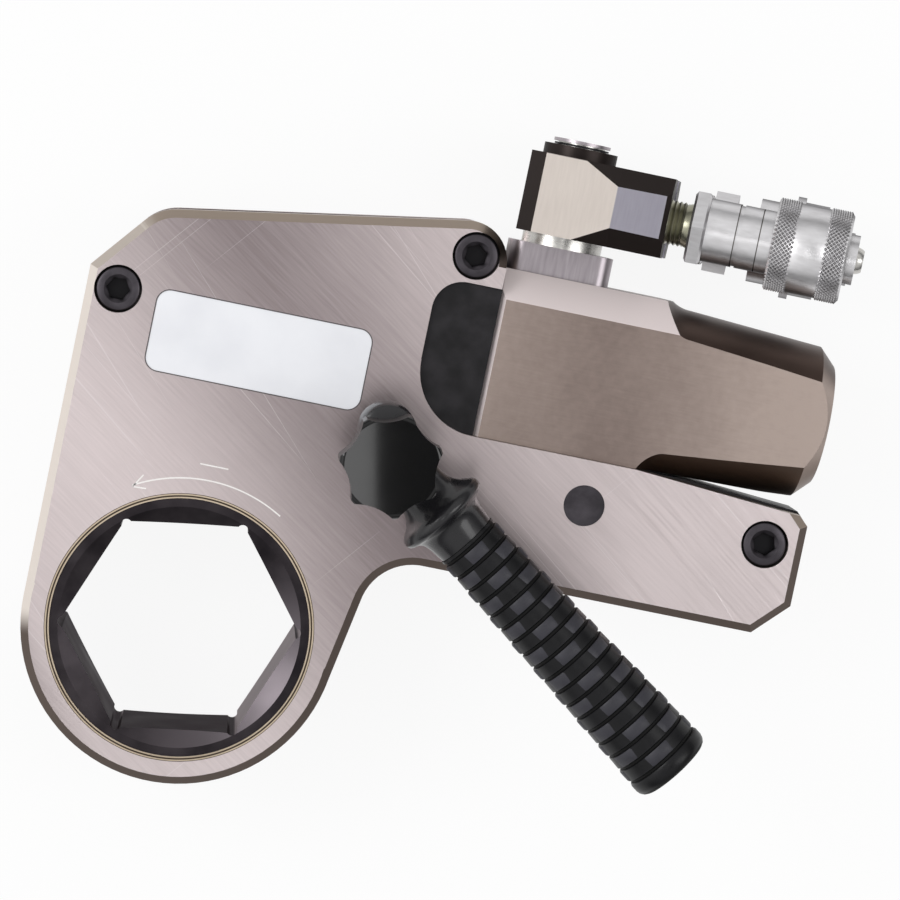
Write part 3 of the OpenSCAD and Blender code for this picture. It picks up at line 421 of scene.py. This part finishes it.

# Cassette screws and flush pin: oiled black steel that has gone grey; each screw has a rounded rim, a
# countersunk hexagon socket, a shank through both plates and a wider ring that fills the counterbore's gap.
# Below the top of the heads the pieces are painted near-black as shade. One node tree makes the copies.
oiled = Finish("oiled_black_steel", Metallic=0.85)
oiled_cloud = oiled.noise(160, detail=5.0)
rim_low, rim_high = 18.7 * mm, 19.3 * mm
# Painted shade: near-black below the top of the head, on the ring in the counterbore, the socket and the
# shank.
oiled.set(
    Base_Color=oiled.way((0, 0, 1)).step(rim_low, rim_high).mix(
        srgb(24, 23, 25), oiled_cloud.step(0.25, 0.8).mix(srgb(54, 51, 55), srgb(80, 76, 81))
    ),
    Roughness=oiled_cloud * 0.2 + 0.3,
)
paint(oiled, "retaining_pin")
screw_places = [(-37.1, 93.6), (63.1, 124.0), (163.6, 58.123)]
screw_sides, screw_turn = 48, 0.4
socket_half, socket_top, socket_floor = 3.0, 19.0, 16.4


def socket_loop(z, apothem):
    loop = []
    for k in range(screw_sides):
        a = math.tau * k / screw_sides
        off = (a + math.pi / 6) % (math.pi / 3) - math.pi / 6
        loop.append((z, apothem / math.cos(off) * math.cos(a), apothem / math.cos(off) * math.sin(a)))
    return loop


screw = Shape().loft(
    [polygon_loop(z, r, screw_sides) for z, r in (
        (-19.9, 3.95), (13.9, 3.95), (13.95, 6.1), (14.2, 6.9), (18.3, 6.9), (18.4, 6.4), (19.2, 6.4),
        (19.65, 6.2), (19.9, 5.6), (19.9, 4.2), (19.55, 3.75),
    )] + [socket_loop(socket_top, socket_half), socket_loop(socket_floor, socket_half)]
)
upright = Matrix(((0, 0, 1, 0), (0, 1, 0, 0), (1, 0, 0, 0), (0, 0, 0, 1)))
screw.points = [upright @ p for p in screw.points]

copies = bpy.data.node_groups.new("copies", "GeometryNodeTree")
copies.interface.new_socket("Points", in_out="INPUT", socket_type="NodeSocketGeometry")
unit_input = copies.interface.new_socket("Unit", in_out="INPUT", socket_type="NodeSocketObject")
finish_input = copies.interface.new_socket("Finish", in_out="INPUT", socket_type="NodeSocketMaterial")
copies.interface.new_socket("Copies", in_out="OUTPUT", socket_type="NodeSocketGeometry")


def copies_node(kind, **settings):
    made = copies.nodes.new(kind)
    for key, value in settings.items():
        setattr(made, key, value)
    return made


copies_in = copies_node("NodeGroupInput")
copies_out = copies_node("NodeGroupOutput")
unit_info = copies_node("GeometryNodeObjectInfo")
turn_values = copies_node("GeometryNodeInputNamedAttribute", data_type="FLOAT_VECTOR")
turn_values.inputs["Name"].default_value = "turn"
grow_values = copies_node("GeometryNodeInputNamedAttribute", data_type="FLOAT_VECTOR")
grow_values.inputs["Name"].default_value = "grow"
on_points = copies_node("GeometryNodeInstanceOnPoints")
realize = copies_node("GeometryNodeRealizeInstances")
set_finish = copies_node("GeometryNodeSetMaterial")
for start, end in (
    (copies_in.outputs["Points"], on_points.inputs["Points"]),
    (copies_in.outputs["Unit"], unit_info.inputs["Object"]),
    (unit_info.outputs["Geometry"], on_points.inputs["Instance"]),
    (turn_values.outputs["Attribute"], on_points.inputs["Rotation"]),
    (grow_values.outputs["Attribute"], on_points.inputs["Scale"]),
    (on_points.outputs["Instances"], realize.inputs["Geometry"]),
    (realize.outputs["Geometry"], set_finish.inputs["Geometry"]),
    (copies_in.outputs["Finish"], set_finish.inputs["Material"]),
    (set_finish.outputs["Geometry"], copies_out.inputs["Copies"]),
):
    copies.links.new(start, end)


def repeat(name, unit, marks, place, finish, body, slot, *nodes):
    """Copies of the unit shape; each mark is a point, a turn and a size, in millimetres."""
    unit_object = bpy.data.objects.new(name + "_unit", unit.mesh(name + "_unit"))
    unit_object.data.transform(Matrix.Scale(1 / mm, 4))
    points = bpy.data.meshes.new(name + "_points")
    points.from_pydata([mark[0] for mark in marks], [], [])
    for key, column in (("turn", 1), ("grow", 2)):
        values = points.attributes.new(key, "FLOAT_VECTOR", "POINT")
        values.data.foreach_set("vector", [v for mark in marks for v in mark[column]])
    holder = bpy.data.objects.new(name + "_points", points)
    scene.collection.objects.link(unit_object)
    scene.collection.objects.link(holder)
    tree = holder.modifiers.new("copies", "NODES")
    tree.node_group = copies
    tree[unit_input.identifier] = unit_object
    tree[finish_input.identifier] = finish.material
    made = bpy.data.meshes.new_from_object(holder.evaluated_get(bpy.context.evaluated_depsgraph_get()))
    holder.modifiers.remove(tree)
    bpy.data.objects.remove(holder)
    bpy.data.objects.remove(unit_object)
    made.name = name
    made.transform(Matrix.Scale(mm, 4) @ place)
    add_piece(made, name, finish, body, slot, *nodes)


repeat(
    "cassette_screw_set", screw,
    [((x, y, 0), (0, 0, screw_turn * k), (1, 1, 1)) for k, (x, y) in enumerate(screw_places)],
    Matrix(), oiled, "cassette", "black_oxide", "cassette_screws",
)

# Bushes: thin turned bronze rings that carry the ratchet, pressed into the plates. They are worn pale,
# with a dark ring half way out and a dark rim.
bronze = Finish("turned_bronze", Metallic=1.0)
bronze_cloud = bronze.noise(120, detail=4.0)
flat_place = bronze.node(
    "ShaderNodeVectorMath", {"operation": "MULTIPLY"}, {0: bronze.place, 1: (1, 1, 0)}
)
radius = bronze.node("ShaderNodeVectorMath", {"operation": "LENGTH"}, {0: flat_place}, out=1)
groove_r, groove_half, rim_r = 38.68, 0.18, 39.25
groove = bronze.math("ABSOLUTE", radius - groove_r * mm)
groove = 1 - groove.step(groove_half * mm, (groove_half + 0.12) * mm)
rim = radius.step(rim_r * mm, (rim_r + 0.15) * mm)
worn = bronze_cloud.mix(srgb(176, 160, 138), srgb(216, 200, 178))
bronze.set(
    Base_Color=bronze.math("MAXIMUM", groove, rim).mix(worn, srgb(66, 56, 48)),
    Roughness=bronze_cloud * 0.2 + 0.25,
)
paint(bronze, "bush_front", "bush_rear")

# Ratchet, crank and pawl: hardened steel with a dark oil-quenched skin, held between the plates by the
# bushes. The flats that face left carry a painted highlight, and so does the lit side of the hexagon's
# lead-in.
quenched = Finish("quenched_steel", Metallic=1.0, Specular_Tint=(0.3, 0.28, 0.29, 1))
quenched_cloud = quenched.noise(70, detail=6.0)
quenched_skin = quenched_cloud.step(0.2, 0.85).mix(srgb(34, 31, 34), srgb(70, 65, 68))
upright_part = quenched.math("ABSOLUTE", quenched.way((0, 0, 1), True))
lead_in = upright_part.step(0.6, 0.8) * (1 - upright_part.step(0.95, 0.98))
# Painted highlights: paler flats facing left, and a paler lit side on the hexagon's lead-in.
lit_side = quenched.way((image_up - image_right) * 0.7071, True)
lit_flat_highlight = quenched.way(-image_right, True).step(0.3, 0.8) * (1 - upright_part.step(0.2, 0.4))
quenched_skin = (lead_in * lit_side.step(0.05, 0.5)).mix(quenched_skin, srgb(96, 90, 94))
quenched.set(
    Base_Color=lit_flat_highlight.mix(quenched_skin, srgb(174, 166, 167)),
    Roughness=quenched_cloud * 0.25 + 0.25,
)
quenched.bump(quenched_cloud, 0.00003)
paint(quenched, "ratchet", "drive_plate_front", "drive_plate_rear", "crank_block", "pawl")

# Cylinder: a milled and turned block with a warm grey plated skin, satin, with fine tool marks. The skin
# is painted darkest in front of the middle, as shade, and painted darker as shade on the upper and lower
# sides of the turned end. The front edge and two long bevels on top, cut from a copy of the solid, carry a
# painted highlight.
brown_plate = Finish("brown_plate")
milled = brown_plate.noise(260, (0.5, 7, 7), detail=4.0)
speckle = brown_plate.noise(420, detail=2.0)
brown_cloud = brown_plate.noise(22, (1.6, 0.8, 1), detail=5.0)
dark_x, turned_from = 107.0, 120.5
# Painted shade: the block is darkest in a band about x = 107 mm.
cylinder_shade_band = brown_plate.math("ABSOLUTE", brown_plate.way((1, 0, 0)) - dark_x * mm).step(-4 * mm, 50 * mm)
brown_tone_and_shade = cylinder_shade_band * 0.85 + (milled - 0.5) * 0.3 + (speckle - 0.5) * 0.35
brown_tone_and_shade = brown_tone_and_shade + (brown_cloud - 0.5) * 0.9 + 0.1
brown_skin = brown_plate.limit(brown_tone_and_shade).mix(srgb(130, 116, 110), srgb(170, 155, 147))
turned_part = brown_plate.way((1, 0, 0)).step(turned_from * mm, (turned_from + 2) * mm)
# Painted shade on the upper and lower sides of the turned end.
turned_top_shade = turned_part * brown_plate.way((0, 1, 0), True).step(0.35, 0.6)
turned_low_shade = turned_part * brown_plate.way((0, -1, 0), True).step(0.2, 0.55)
brown_skin = turned_top_shade.mix(turned_low_shade.mix(brown_skin, srgb(110, 94, 84)), srgb(84, 70, 64))
bevel_low, bevel_high, bevel_deep = 113.4, 8.9, 5.5
block_side = 18.7
bevel_way = Vector((0, bevel_deep, bevel_high)).normalized()
# Painted highlight on the front edge and the two top bevels: a pale, less metallic colour.
front_edge_highlight = brown_plate.way((-0.7071, 0, 0.7071), True).step(0.95, 0.98)
bevel_out = (bevel_way.y * bevel_low + bevel_way.z * block_side) * mm
half_out = brown_plate.math("ABSOLUTE", brown_plate.way((0, 0, bevel_way.z)))
up_out = brown_plate.way((0, bevel_way.y, 0))
top_bevel_highlight = (up_out + half_out).step(bevel_out - 0.08 * mm, bevel_out - 0.03 * mm)
painted_highlight = brown_plate.math("MAXIMUM", top_bevel_highlight, front_edge_highlight * (1 - turned_part))
brown_plate.set(
    Base_Color=painted_highlight.mix(brown_skin, srgb(222, 210, 209)),
    Roughness=milled * 0.12 + 0.34,
    Metallic=1 - painted_highlight * 0.75,
)
brown_plate.bump(milled * 0.5 + speckle * 0.5, 0.00001)
block = bmesh.new()
block.from_mesh(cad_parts["cylinder_body"].data)
block.transform(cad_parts["cylinder_body"].matrix_world)
bmesh.ops.remove_doubles(block, verts=block.verts, dist=2e-6)
for side in (1, -1):
    bmesh.ops.bisect_plane(
        block,
        geom=block.verts[:] + block.edges[:] + block.faces[:],
        plane_co=(0, bevel_low * mm, side * block_side * mm),
        plane_no=(0, bevel_way.y, side * bevel_way.z),
        clear_outer=True,
    )
    bmesh.ops.holes_fill(block, edges=[e for e in block.edges if e.is_boundary], sides=0)
bmesh.ops.recalc_face_normals(block, faces=block.faces)
block_mesh = bpy.data.meshes.new("cylinder_block")
block.to_mesh(block_mesh)
block.free()
for name in ("custom_normal", "sharp_edge", "sharp_face"):
    if name in block_mesh.attributes:
        block_mesh.attributes.remove(block_mesh.attributes[name])
block_mesh.polygons.foreach_set("use_smooth", [True] * len(block_mesh.polygons))
block_mesh.set_sharp_from_angle(angle=math.radians(20))
add_piece(block_mesh, "cylinder_block", brown_plate, "cassette", "body_steel", "cylinder_body")

# Inside the cylinder, crank and couplers: hard chrome rod, bright turned pieces and springs, and black
# rubber seals. Few of them show, and then only between the plates.
bright = Finish("bright_steel", Metallic=1.0)
bright_lines = bright.noise(120, (1, 8, 8), detail=3.0)
bright.set(
    Base_Color=bright_lines.mix(srgb(176, 174, 170), srgb(214, 212, 208)), Roughness=bright_lines * 0.15 + 0.2
)
paint(
    bright, "piston_rod", "spacer_sleeves", "crank_rivets", "drive_pin", "gland", "piston", "swivel_post",
    "handle_stud", "knob_washer", "pawl_spring", "poppet_spring_front", "poppet_spring_rear",
    "poppet_front", "poppet_rear",
)
rubber = Finish("seal_rubber", Roughness=0.6)
rubber.set(Base_Color=rubber.noise(200).mix(srgb(18, 18, 19), srgb(32, 32, 33)))
paint(rubber, "rod_seal", "piston_seal", "swivel_seals")

# Swivel: black oxide manifold whose front and rear faces are milled bright after blackening, on a
# grey steel base that is screwed to the cylinder.
swivel_turn = math.radians(8)
swivel_x, coupler_y, coupler_z = 88.4, 145.147, 17.0
swivel_frame = Matrix.Translation((swivel_x, coupler_y, 0)) @ Matrix.Rotation(-swivel_turn, 4, "Y")
block_skin = Finish("swivel_block_skin", Specular_Tint=(0.35, 0.34, 0.33, 1))
square_on = (-math.sin(swivel_turn), 0, math.cos(swivel_turn))
along_arm = (math.cos(swivel_turn), 0, math.sin(swivel_turn))
milled_face = block_skin.math("ABSOLUTE", block_skin.way(square_on, True)).step(0.93, 0.97)
face_top, face_end = 157.4, 14.1
milled_face = milled_face * (1 - block_skin.way((0, 1, 0)).step(face_top * mm, (face_top + 0.3) * mm))
arm_start = swivel_x * mm * math.cos(swivel_turn)
arm_face = (block_skin.way(along_arm) - arm_start).step(face_end * mm, (face_end + 0.4) * mm)
skin_lines = block_skin.noise(240, (7, 0.6, 7), detail=4.0)
skin_cloud = block_skin.noise(30, detail=3.0)
skin_mix = skin_lines * 0.4 + skin_cloud * 0.6
hub_face = skin_mix.mix(srgb(194, 184, 177), srgb(226, 217, 209))
# The tapered arm facets are painted darker and bluer than the hub face, as painted shade for their turn from
# the light.
shaded_facet = skin_mix.mix(srgb(144, 141, 152), srgb(178, 175, 186))
dark_face = skin_cloud.mix(srgb(34, 29, 28), srgb(52, 45, 43))
block_skin.set(
    Base_Color=milled_face.mix(dark_face, arm_face.mix(hub_face, shaded_facet)),
    Roughness=milled_face * (skin_lines * 0.1 - 0.08) + 0.36,
    Metallic=milled_face * 0.4 + 0.6,
)
paint(block_skin, "swivel_block")
base_steel = Finish("base_steel", Metallic=1.0)
base_lines = base_steel.noise(200, (6, 0.6, 6), detail=4.0)
base_steel.set(
    Base_Color=base_lines.mix(srgb(142, 135, 139), srgb(186, 178, 183)), Roughness=base_lines * 0.15 + 0.28
)
paint(base_steel, "swivel_base", "swivel_cap")

# Couplers: bright zinc plated steel. The spin collar has two bands of diamond knurl on a turned
# sleeve with broken edges.
zinc = Finish("bright_zinc", Metallic=1.0, Specular_Tint=(0.15, 0.15, 0.15, 1))
zinc_cloud = zinc.noise(700, (0.3, 1, 1), detail=2.0)
arm_reach = zinc.way(along_arm) - arm_start
seam_1, seam_2 = (zinc.math("ABSOLUTE", arm_reach - x * mm) for x in (50.3, 57.2))
front_part = (zinc.way(square_on) + swivel_x * mm * math.sin(swivel_turn)).step(-1 * mm, 1 * mm)
# Painted shade: thin dark lines in the two small grooves of the front coupler.
groove_shade_lines = front_part * (1 - zinc.math("MINIMUM", seam_1, seam_2).step(0.1 * mm, 0.22 * mm))
zinc.set(
    Base_Color=groove_shade_lines.mix(zinc_cloud.mix(srgb(202, 200, 201), srgb(236, 235, 237)), srgb(92, 88, 86)),
    Roughness=zinc_cloud * 0.08 + 0.29,
)
paint(zinc, "coupler_body_front", "coupler_body_rear")
front_axis = swivel_frame @ Matrix.Translation((0, 0, coupler_z))
rear_axis = swivel_frame @ Matrix.Translation((0, 0, -coupler_z))
coupler_x = 41.6
collar_x = coupler_x + 20.4
knurl_r, smooth_r, bore_r, mouth_r = 13.1, 13.2, 9.35, 12.0
collar = Shape().lathe(
    [(collar_x + x, r) for x, r in (
        (-1.1, bore_r), (-1.1, 12.5), (-0.5, knurl_r), (5.0, knurl_r), (5.2, smooth_r), (14.0, smooth_r),
        (14.2, knurl_r), (20.6, knurl_r), (21.2, 12.5), (21.2, mouth_r), (6.1, mouth_r), (6.1, bore_r),
    )],
    front_axis, ring=True,
)
collar.piece("collar_sleeve", zinc, "collar", "zinc", "coupler_collar")
knurl_n, knurl_step, knurl_high = 60, 0.68, 0.6
knurl = Shape().loft([
    [(-0.5, 0, -0.3), (0, -0.5, -0.3), (0.5, 0, -0.3), (0, 0.5, -0.3)],
    [(-0.1, 0, 1), (0, -0.1, 1), (0.1, 0, 1), (0, 0.1, 1)],
])
knurl_marks = []
for start, rows in ((-0.4, 9), (14.7, 9)):
    for row in range(rows):
        for k in range(knurl_n):
            turn = math.tau * (k + 0.5 * (row % 2)) / knurl_n
            knurl_marks.append((
                (collar_x + start + knurl_step * row, -knurl_r * math.sin(turn), knurl_r * math.cos(turn)),
                (turn, 0, 0),
                (2 * knurl_step, math.tau * knurl_r / knurl_n, knurl_high),
            ))
knurl_zinc = Finish("knurl_zinc", Metallic=1.0, Specular_Tint=(0.3, 0.3, 0.31, 1))
knurl_cloud = knurl_zinc.noise(300, detail=2.0)
knurl_zinc.set(
    Base_Color=knurl_cloud.mix(srgb(164, 162, 162), srgb(214, 213, 215)), Roughness=knurl_cloud * 0.1 + 0.22
)
repeat("collar_knurl", knurl, knurl_marks, front_axis, knurl_zinc, "collar", "zinc")

# Nipples: yellow zinc plated adaptors, screwed into the swivel block and the couplers. Each has a run of
# turned thread and a chamfered bright nut.
yellow_zinc = Finish("yellow_zinc", Metallic=1.0)
yellow_cloud = yellow_zinc.noise(160, detail=4.0)
yellow_zinc.set(
    Base_Color=yellow_cloud.mix(srgb(114, 113, 99), srgb(174, 172, 152)), Roughness=yellow_cloud * 0.2 + 0.2
)
nipple_r, thread_pitch, thread_deep = 6.6, 1.3, 0.6
nut_x, nut_l, nut_af = 36.8, 4.8, 21.0
nipple_x, thread_x = 21.3, 30.4
thread = [(nipple_x, nipple_r)]
at = thread_x
while at + thread_pitch < nut_x:
    thread += [(at, nipple_r), (at + thread_pitch / 2, nipple_r - thread_deep)]
    at += thread_pitch
thread += [(nut_x - 0.1, nipple_r), (nut_x + 1, nipple_r)]
threads = Shape().lathe(thread, front_axis).lathe(thread, rear_axis)
threads.piece("nipple_threads", yellow_zinc, "swivel", "yellow_zinc", "nipple_front", "nipple_rear")
nut_r = nut_af / 2 / math.cos(math.pi / 6)
nuts = Shape()
for axis in (front_axis, rear_axis):
    nut_steps = ((0, 0.9), (0.7, 1), (nut_l - 0.7, 1), (nut_l, 0.9))
    nuts.loft([polygon_loop(nut_x + x, nut_r * s, 6, math.pi / 2) for x, s in nut_steps], axis)
nuts.piece("nipple_nuts", zinc, "swivel", "zinc")

# Handle: black painted stem on a stand-off. Its eye sits on the stud, and it flares like a trumpet into
# a thin round guard.
handle_paint = Finish("handle_paint", Coat_Weight=0.2, Specular_IOR_Level=0.35)
handle_cloud = handle_paint.noise(160, detail=4.0)
handle_paint.set(
    Base_Color=handle_cloud.mix(srgb(20, 20, 22), srgb(36, 35, 38)), Roughness=handle_cloud * 0.2 + 0.18
)
paint(handle_paint, "handle_standoff")
knob_at = (48.5, 62.547)
stem_z, stem_side, handle_turn = 51.5, 1.1, math.radians(-36.2)
handle_frame = (
    Matrix.Translation((*knob_at, stem_z)) @ Matrix.Rotation(handle_turn, 4, "Z")
    @ Matrix.Translation((0, stem_side, 0))
)
eye_frame = Matrix.Translation((*knob_at, stem_z)) @ upright
stem = Shape()
stem.lathe(
    [(-9.25, 5.05), (-9.25, 9.4), (-8.7, 10), (8.3, 10), (9.25, 9.2), (9.25, 5.05)], eye_frame, ring=True
)
stem.lathe(
    [(-9.25, 7.8), (-8.6, 8.4), (6.4, 8.4), (7.6, 7.9), (8.25, 6.8)],
    Matrix.Translation((-2, 7.9, 0)) @ eye_frame,
)
stem.lathe(
    [
        (7.2, 8.0), (12.5, 8.0), (14.5, 8.3), (16.2, 9.1), (17.8, 10.4), (19.0, 12.0), (19.9, 13.2),
        (20.7, 13.75), (21.8, 13.9), (22.6, 13.7), (23.2, 13.1), (23.5, 12.2), (24.0, 11.2), (25.0, 10.2),
        (27.0, 9.6), (31.9, 9.1),
    ],
    handle_frame,
)
stem.piece("stem_with_guard", handle_paint, "handle", "handle_black", "handle_stem")

# Grip: a moulded tapered sleeve with narrow grooves; each ring between grooves carries four raised
# pads, a half step further round on every second ring.
grip_x, grip_l, grip_r1, grip_r2 = 32.0, 89.4, 9.7, 12.5
groove_n, groove_pitch, groove_w, groove_deep = 18, 4.83, 1.2, 0.55
groove_first = 1.45
pad_high = 0.25


def grip_r(t):
    return grip_r1 + (grip_r2 - grip_r1) * t / grip_l


sleeve = [(0, grip_r(0) - pad_high)]
for k in range(groove_n):
    middle = groove_first + k * groove_pitch
    for off, depth in ((-0.5, 0), (-0.25, groove_deep), (0.25, groove_deep), (0.5, 0)):
        sleeve.append((middle + off * groove_w, grip_r(middle) - pad_high - depth))
end_r = grip_r(grip_l)
sleeve += [(grip_l - 4.6, end_r - 0.1), (grip_l - 2.6, end_r - 0.1), (grip_l - 1.5, end_r - 0.4)]
sleeve += [(grip_l - 0.7, end_r - 1.0), (grip_l - 0.2, end_r - 1.8), (grip_l, end_r - 2.8)]
grip_start = handle_frame @ Vector((grip_x, 0, 0)) * mm
grip_way = handle_frame.to_3x3() @ Vector((1, 0, 0))
grip_black = Finish("grip_black", Specular_IOR_Level=0.22)
grip_cloud = grip_black.noise(240, detail=4.0)
from_start = grip_black.node(
    "ShaderNodeVectorMath", {"operation": "SUBTRACT"}, {0: grip_black.place, 1: tuple(grip_start)}
)
across = grip_black.node(
    "ShaderNodeVectorMath", {"operation": "CROSS_PRODUCT"}, {0: from_start, 1: tuple(grip_way)}
)
radius = grip_black.node("ShaderNodeVectorMath", {"operation": "LENGTH"}, {0: across}, out=1)
length = grip_black.way(grip_way) - grip_start.dot(grip_way)
under = radius - length * ((grip_r2 - grip_r1) / grip_l) - (grip_r1 - pad_high) * mm
# The groove floors are painted near-black as shade.
ring_part = under.step(-0.4 * mm, -0.15 * mm)
ring_black = grip_cloud.mix(srgb(8, 8, 9), srgb(20, 20, 23))
grip_black.set(
    Base_Color=ring_part.mix(srgb(3, 3, 3), ring_black), Roughness=grip_cloud * 0.2 + 0.55 - ring_part * 0.3
)
# The pads are rougher, and painted lighter than the sleeve as a painted sheen.
pad_black = Finish("grip_pad_black", Specular_IOR_Level=0.4)
pad_cloud = pad_black.noise(240, detail=4.0)
pad_black.set(
    Base_Color=pad_cloud.mix(srgb(30, 30, 35), srgb(54, 53, 61)), Roughness=pad_cloud * 0.2 + 0.4
)
Shape().lathe([(grip_x + t, r) for t, r in sleeve], handle_frame).piece(
    "grip_sleeve", grip_black, "handle", "grip", "handle_grip"
)
pad_half, pad_sides = math.radians(22), 8
pad_section = ((-0.5, 0.86), (-0.5, 0.98), (-0.4, 1.0), (0.4, 1.0), (0.5, 0.98), (0.5, 0.86))
pad_loops = []
for k in range(pad_sides + 1):
    a = pad_half * (2 * k / pad_sides - 1)
    most = 1.0 if 0 < k < pad_sides else 0.96
    pad_loops.append([(x, min(r, most) * math.sin(a), min(r, most) * math.cos(a)) for x, r in pad_section])
pad = Shape().loft(pad_loops)
pad_marks = []
for k in range(groove_n - 1):
    middle = groove_first + (k + 0.5) * groove_pitch
    for quarter in range(4):
        pad_marks.append((
            (grip_x + middle, 0, 0),
            (math.pi / 2 * (quarter + 0.5 * (k % 2)), 0, 0),
            (groove_pitch - groove_w, grip_r(middle), grip_r(middle)),
        ))
repeat("grip_pads", pad, pad_marks, handle_frame, pad_black, "handle", "grip")

# Knob: a glossy black phenolic star with seven points, moulded in one piece and screwed on the stud. It
# is duller round its sides and its hub, which are painted brownish grey as a painted reflection of the plate.
phenolic = Finish("phenolic", Coat_Weight=0.3, Specular_IOR_Level=0.25)
phenolic_cloud = phenolic.noise(90, detail=3.0)
# Sides and hub: duller, and painted brownish grey as a painted reflection of the plate.
dull_reflecting_sides = 1 - phenolic.way((0, 0, 1), True).step(0.3, 0.5)
phenolic.set(
    Base_Color=dull_reflecting_sides.mix(phenolic_cloud.mix(srgb(3, 3, 3), srgb(7, 7, 8)), srgb(34, 31, 31)),
    Roughness=phenolic_cloud * 0.03 + 0.03 + dull_reflecting_sides * 0.4,
)
paint(phenolic, "knob")
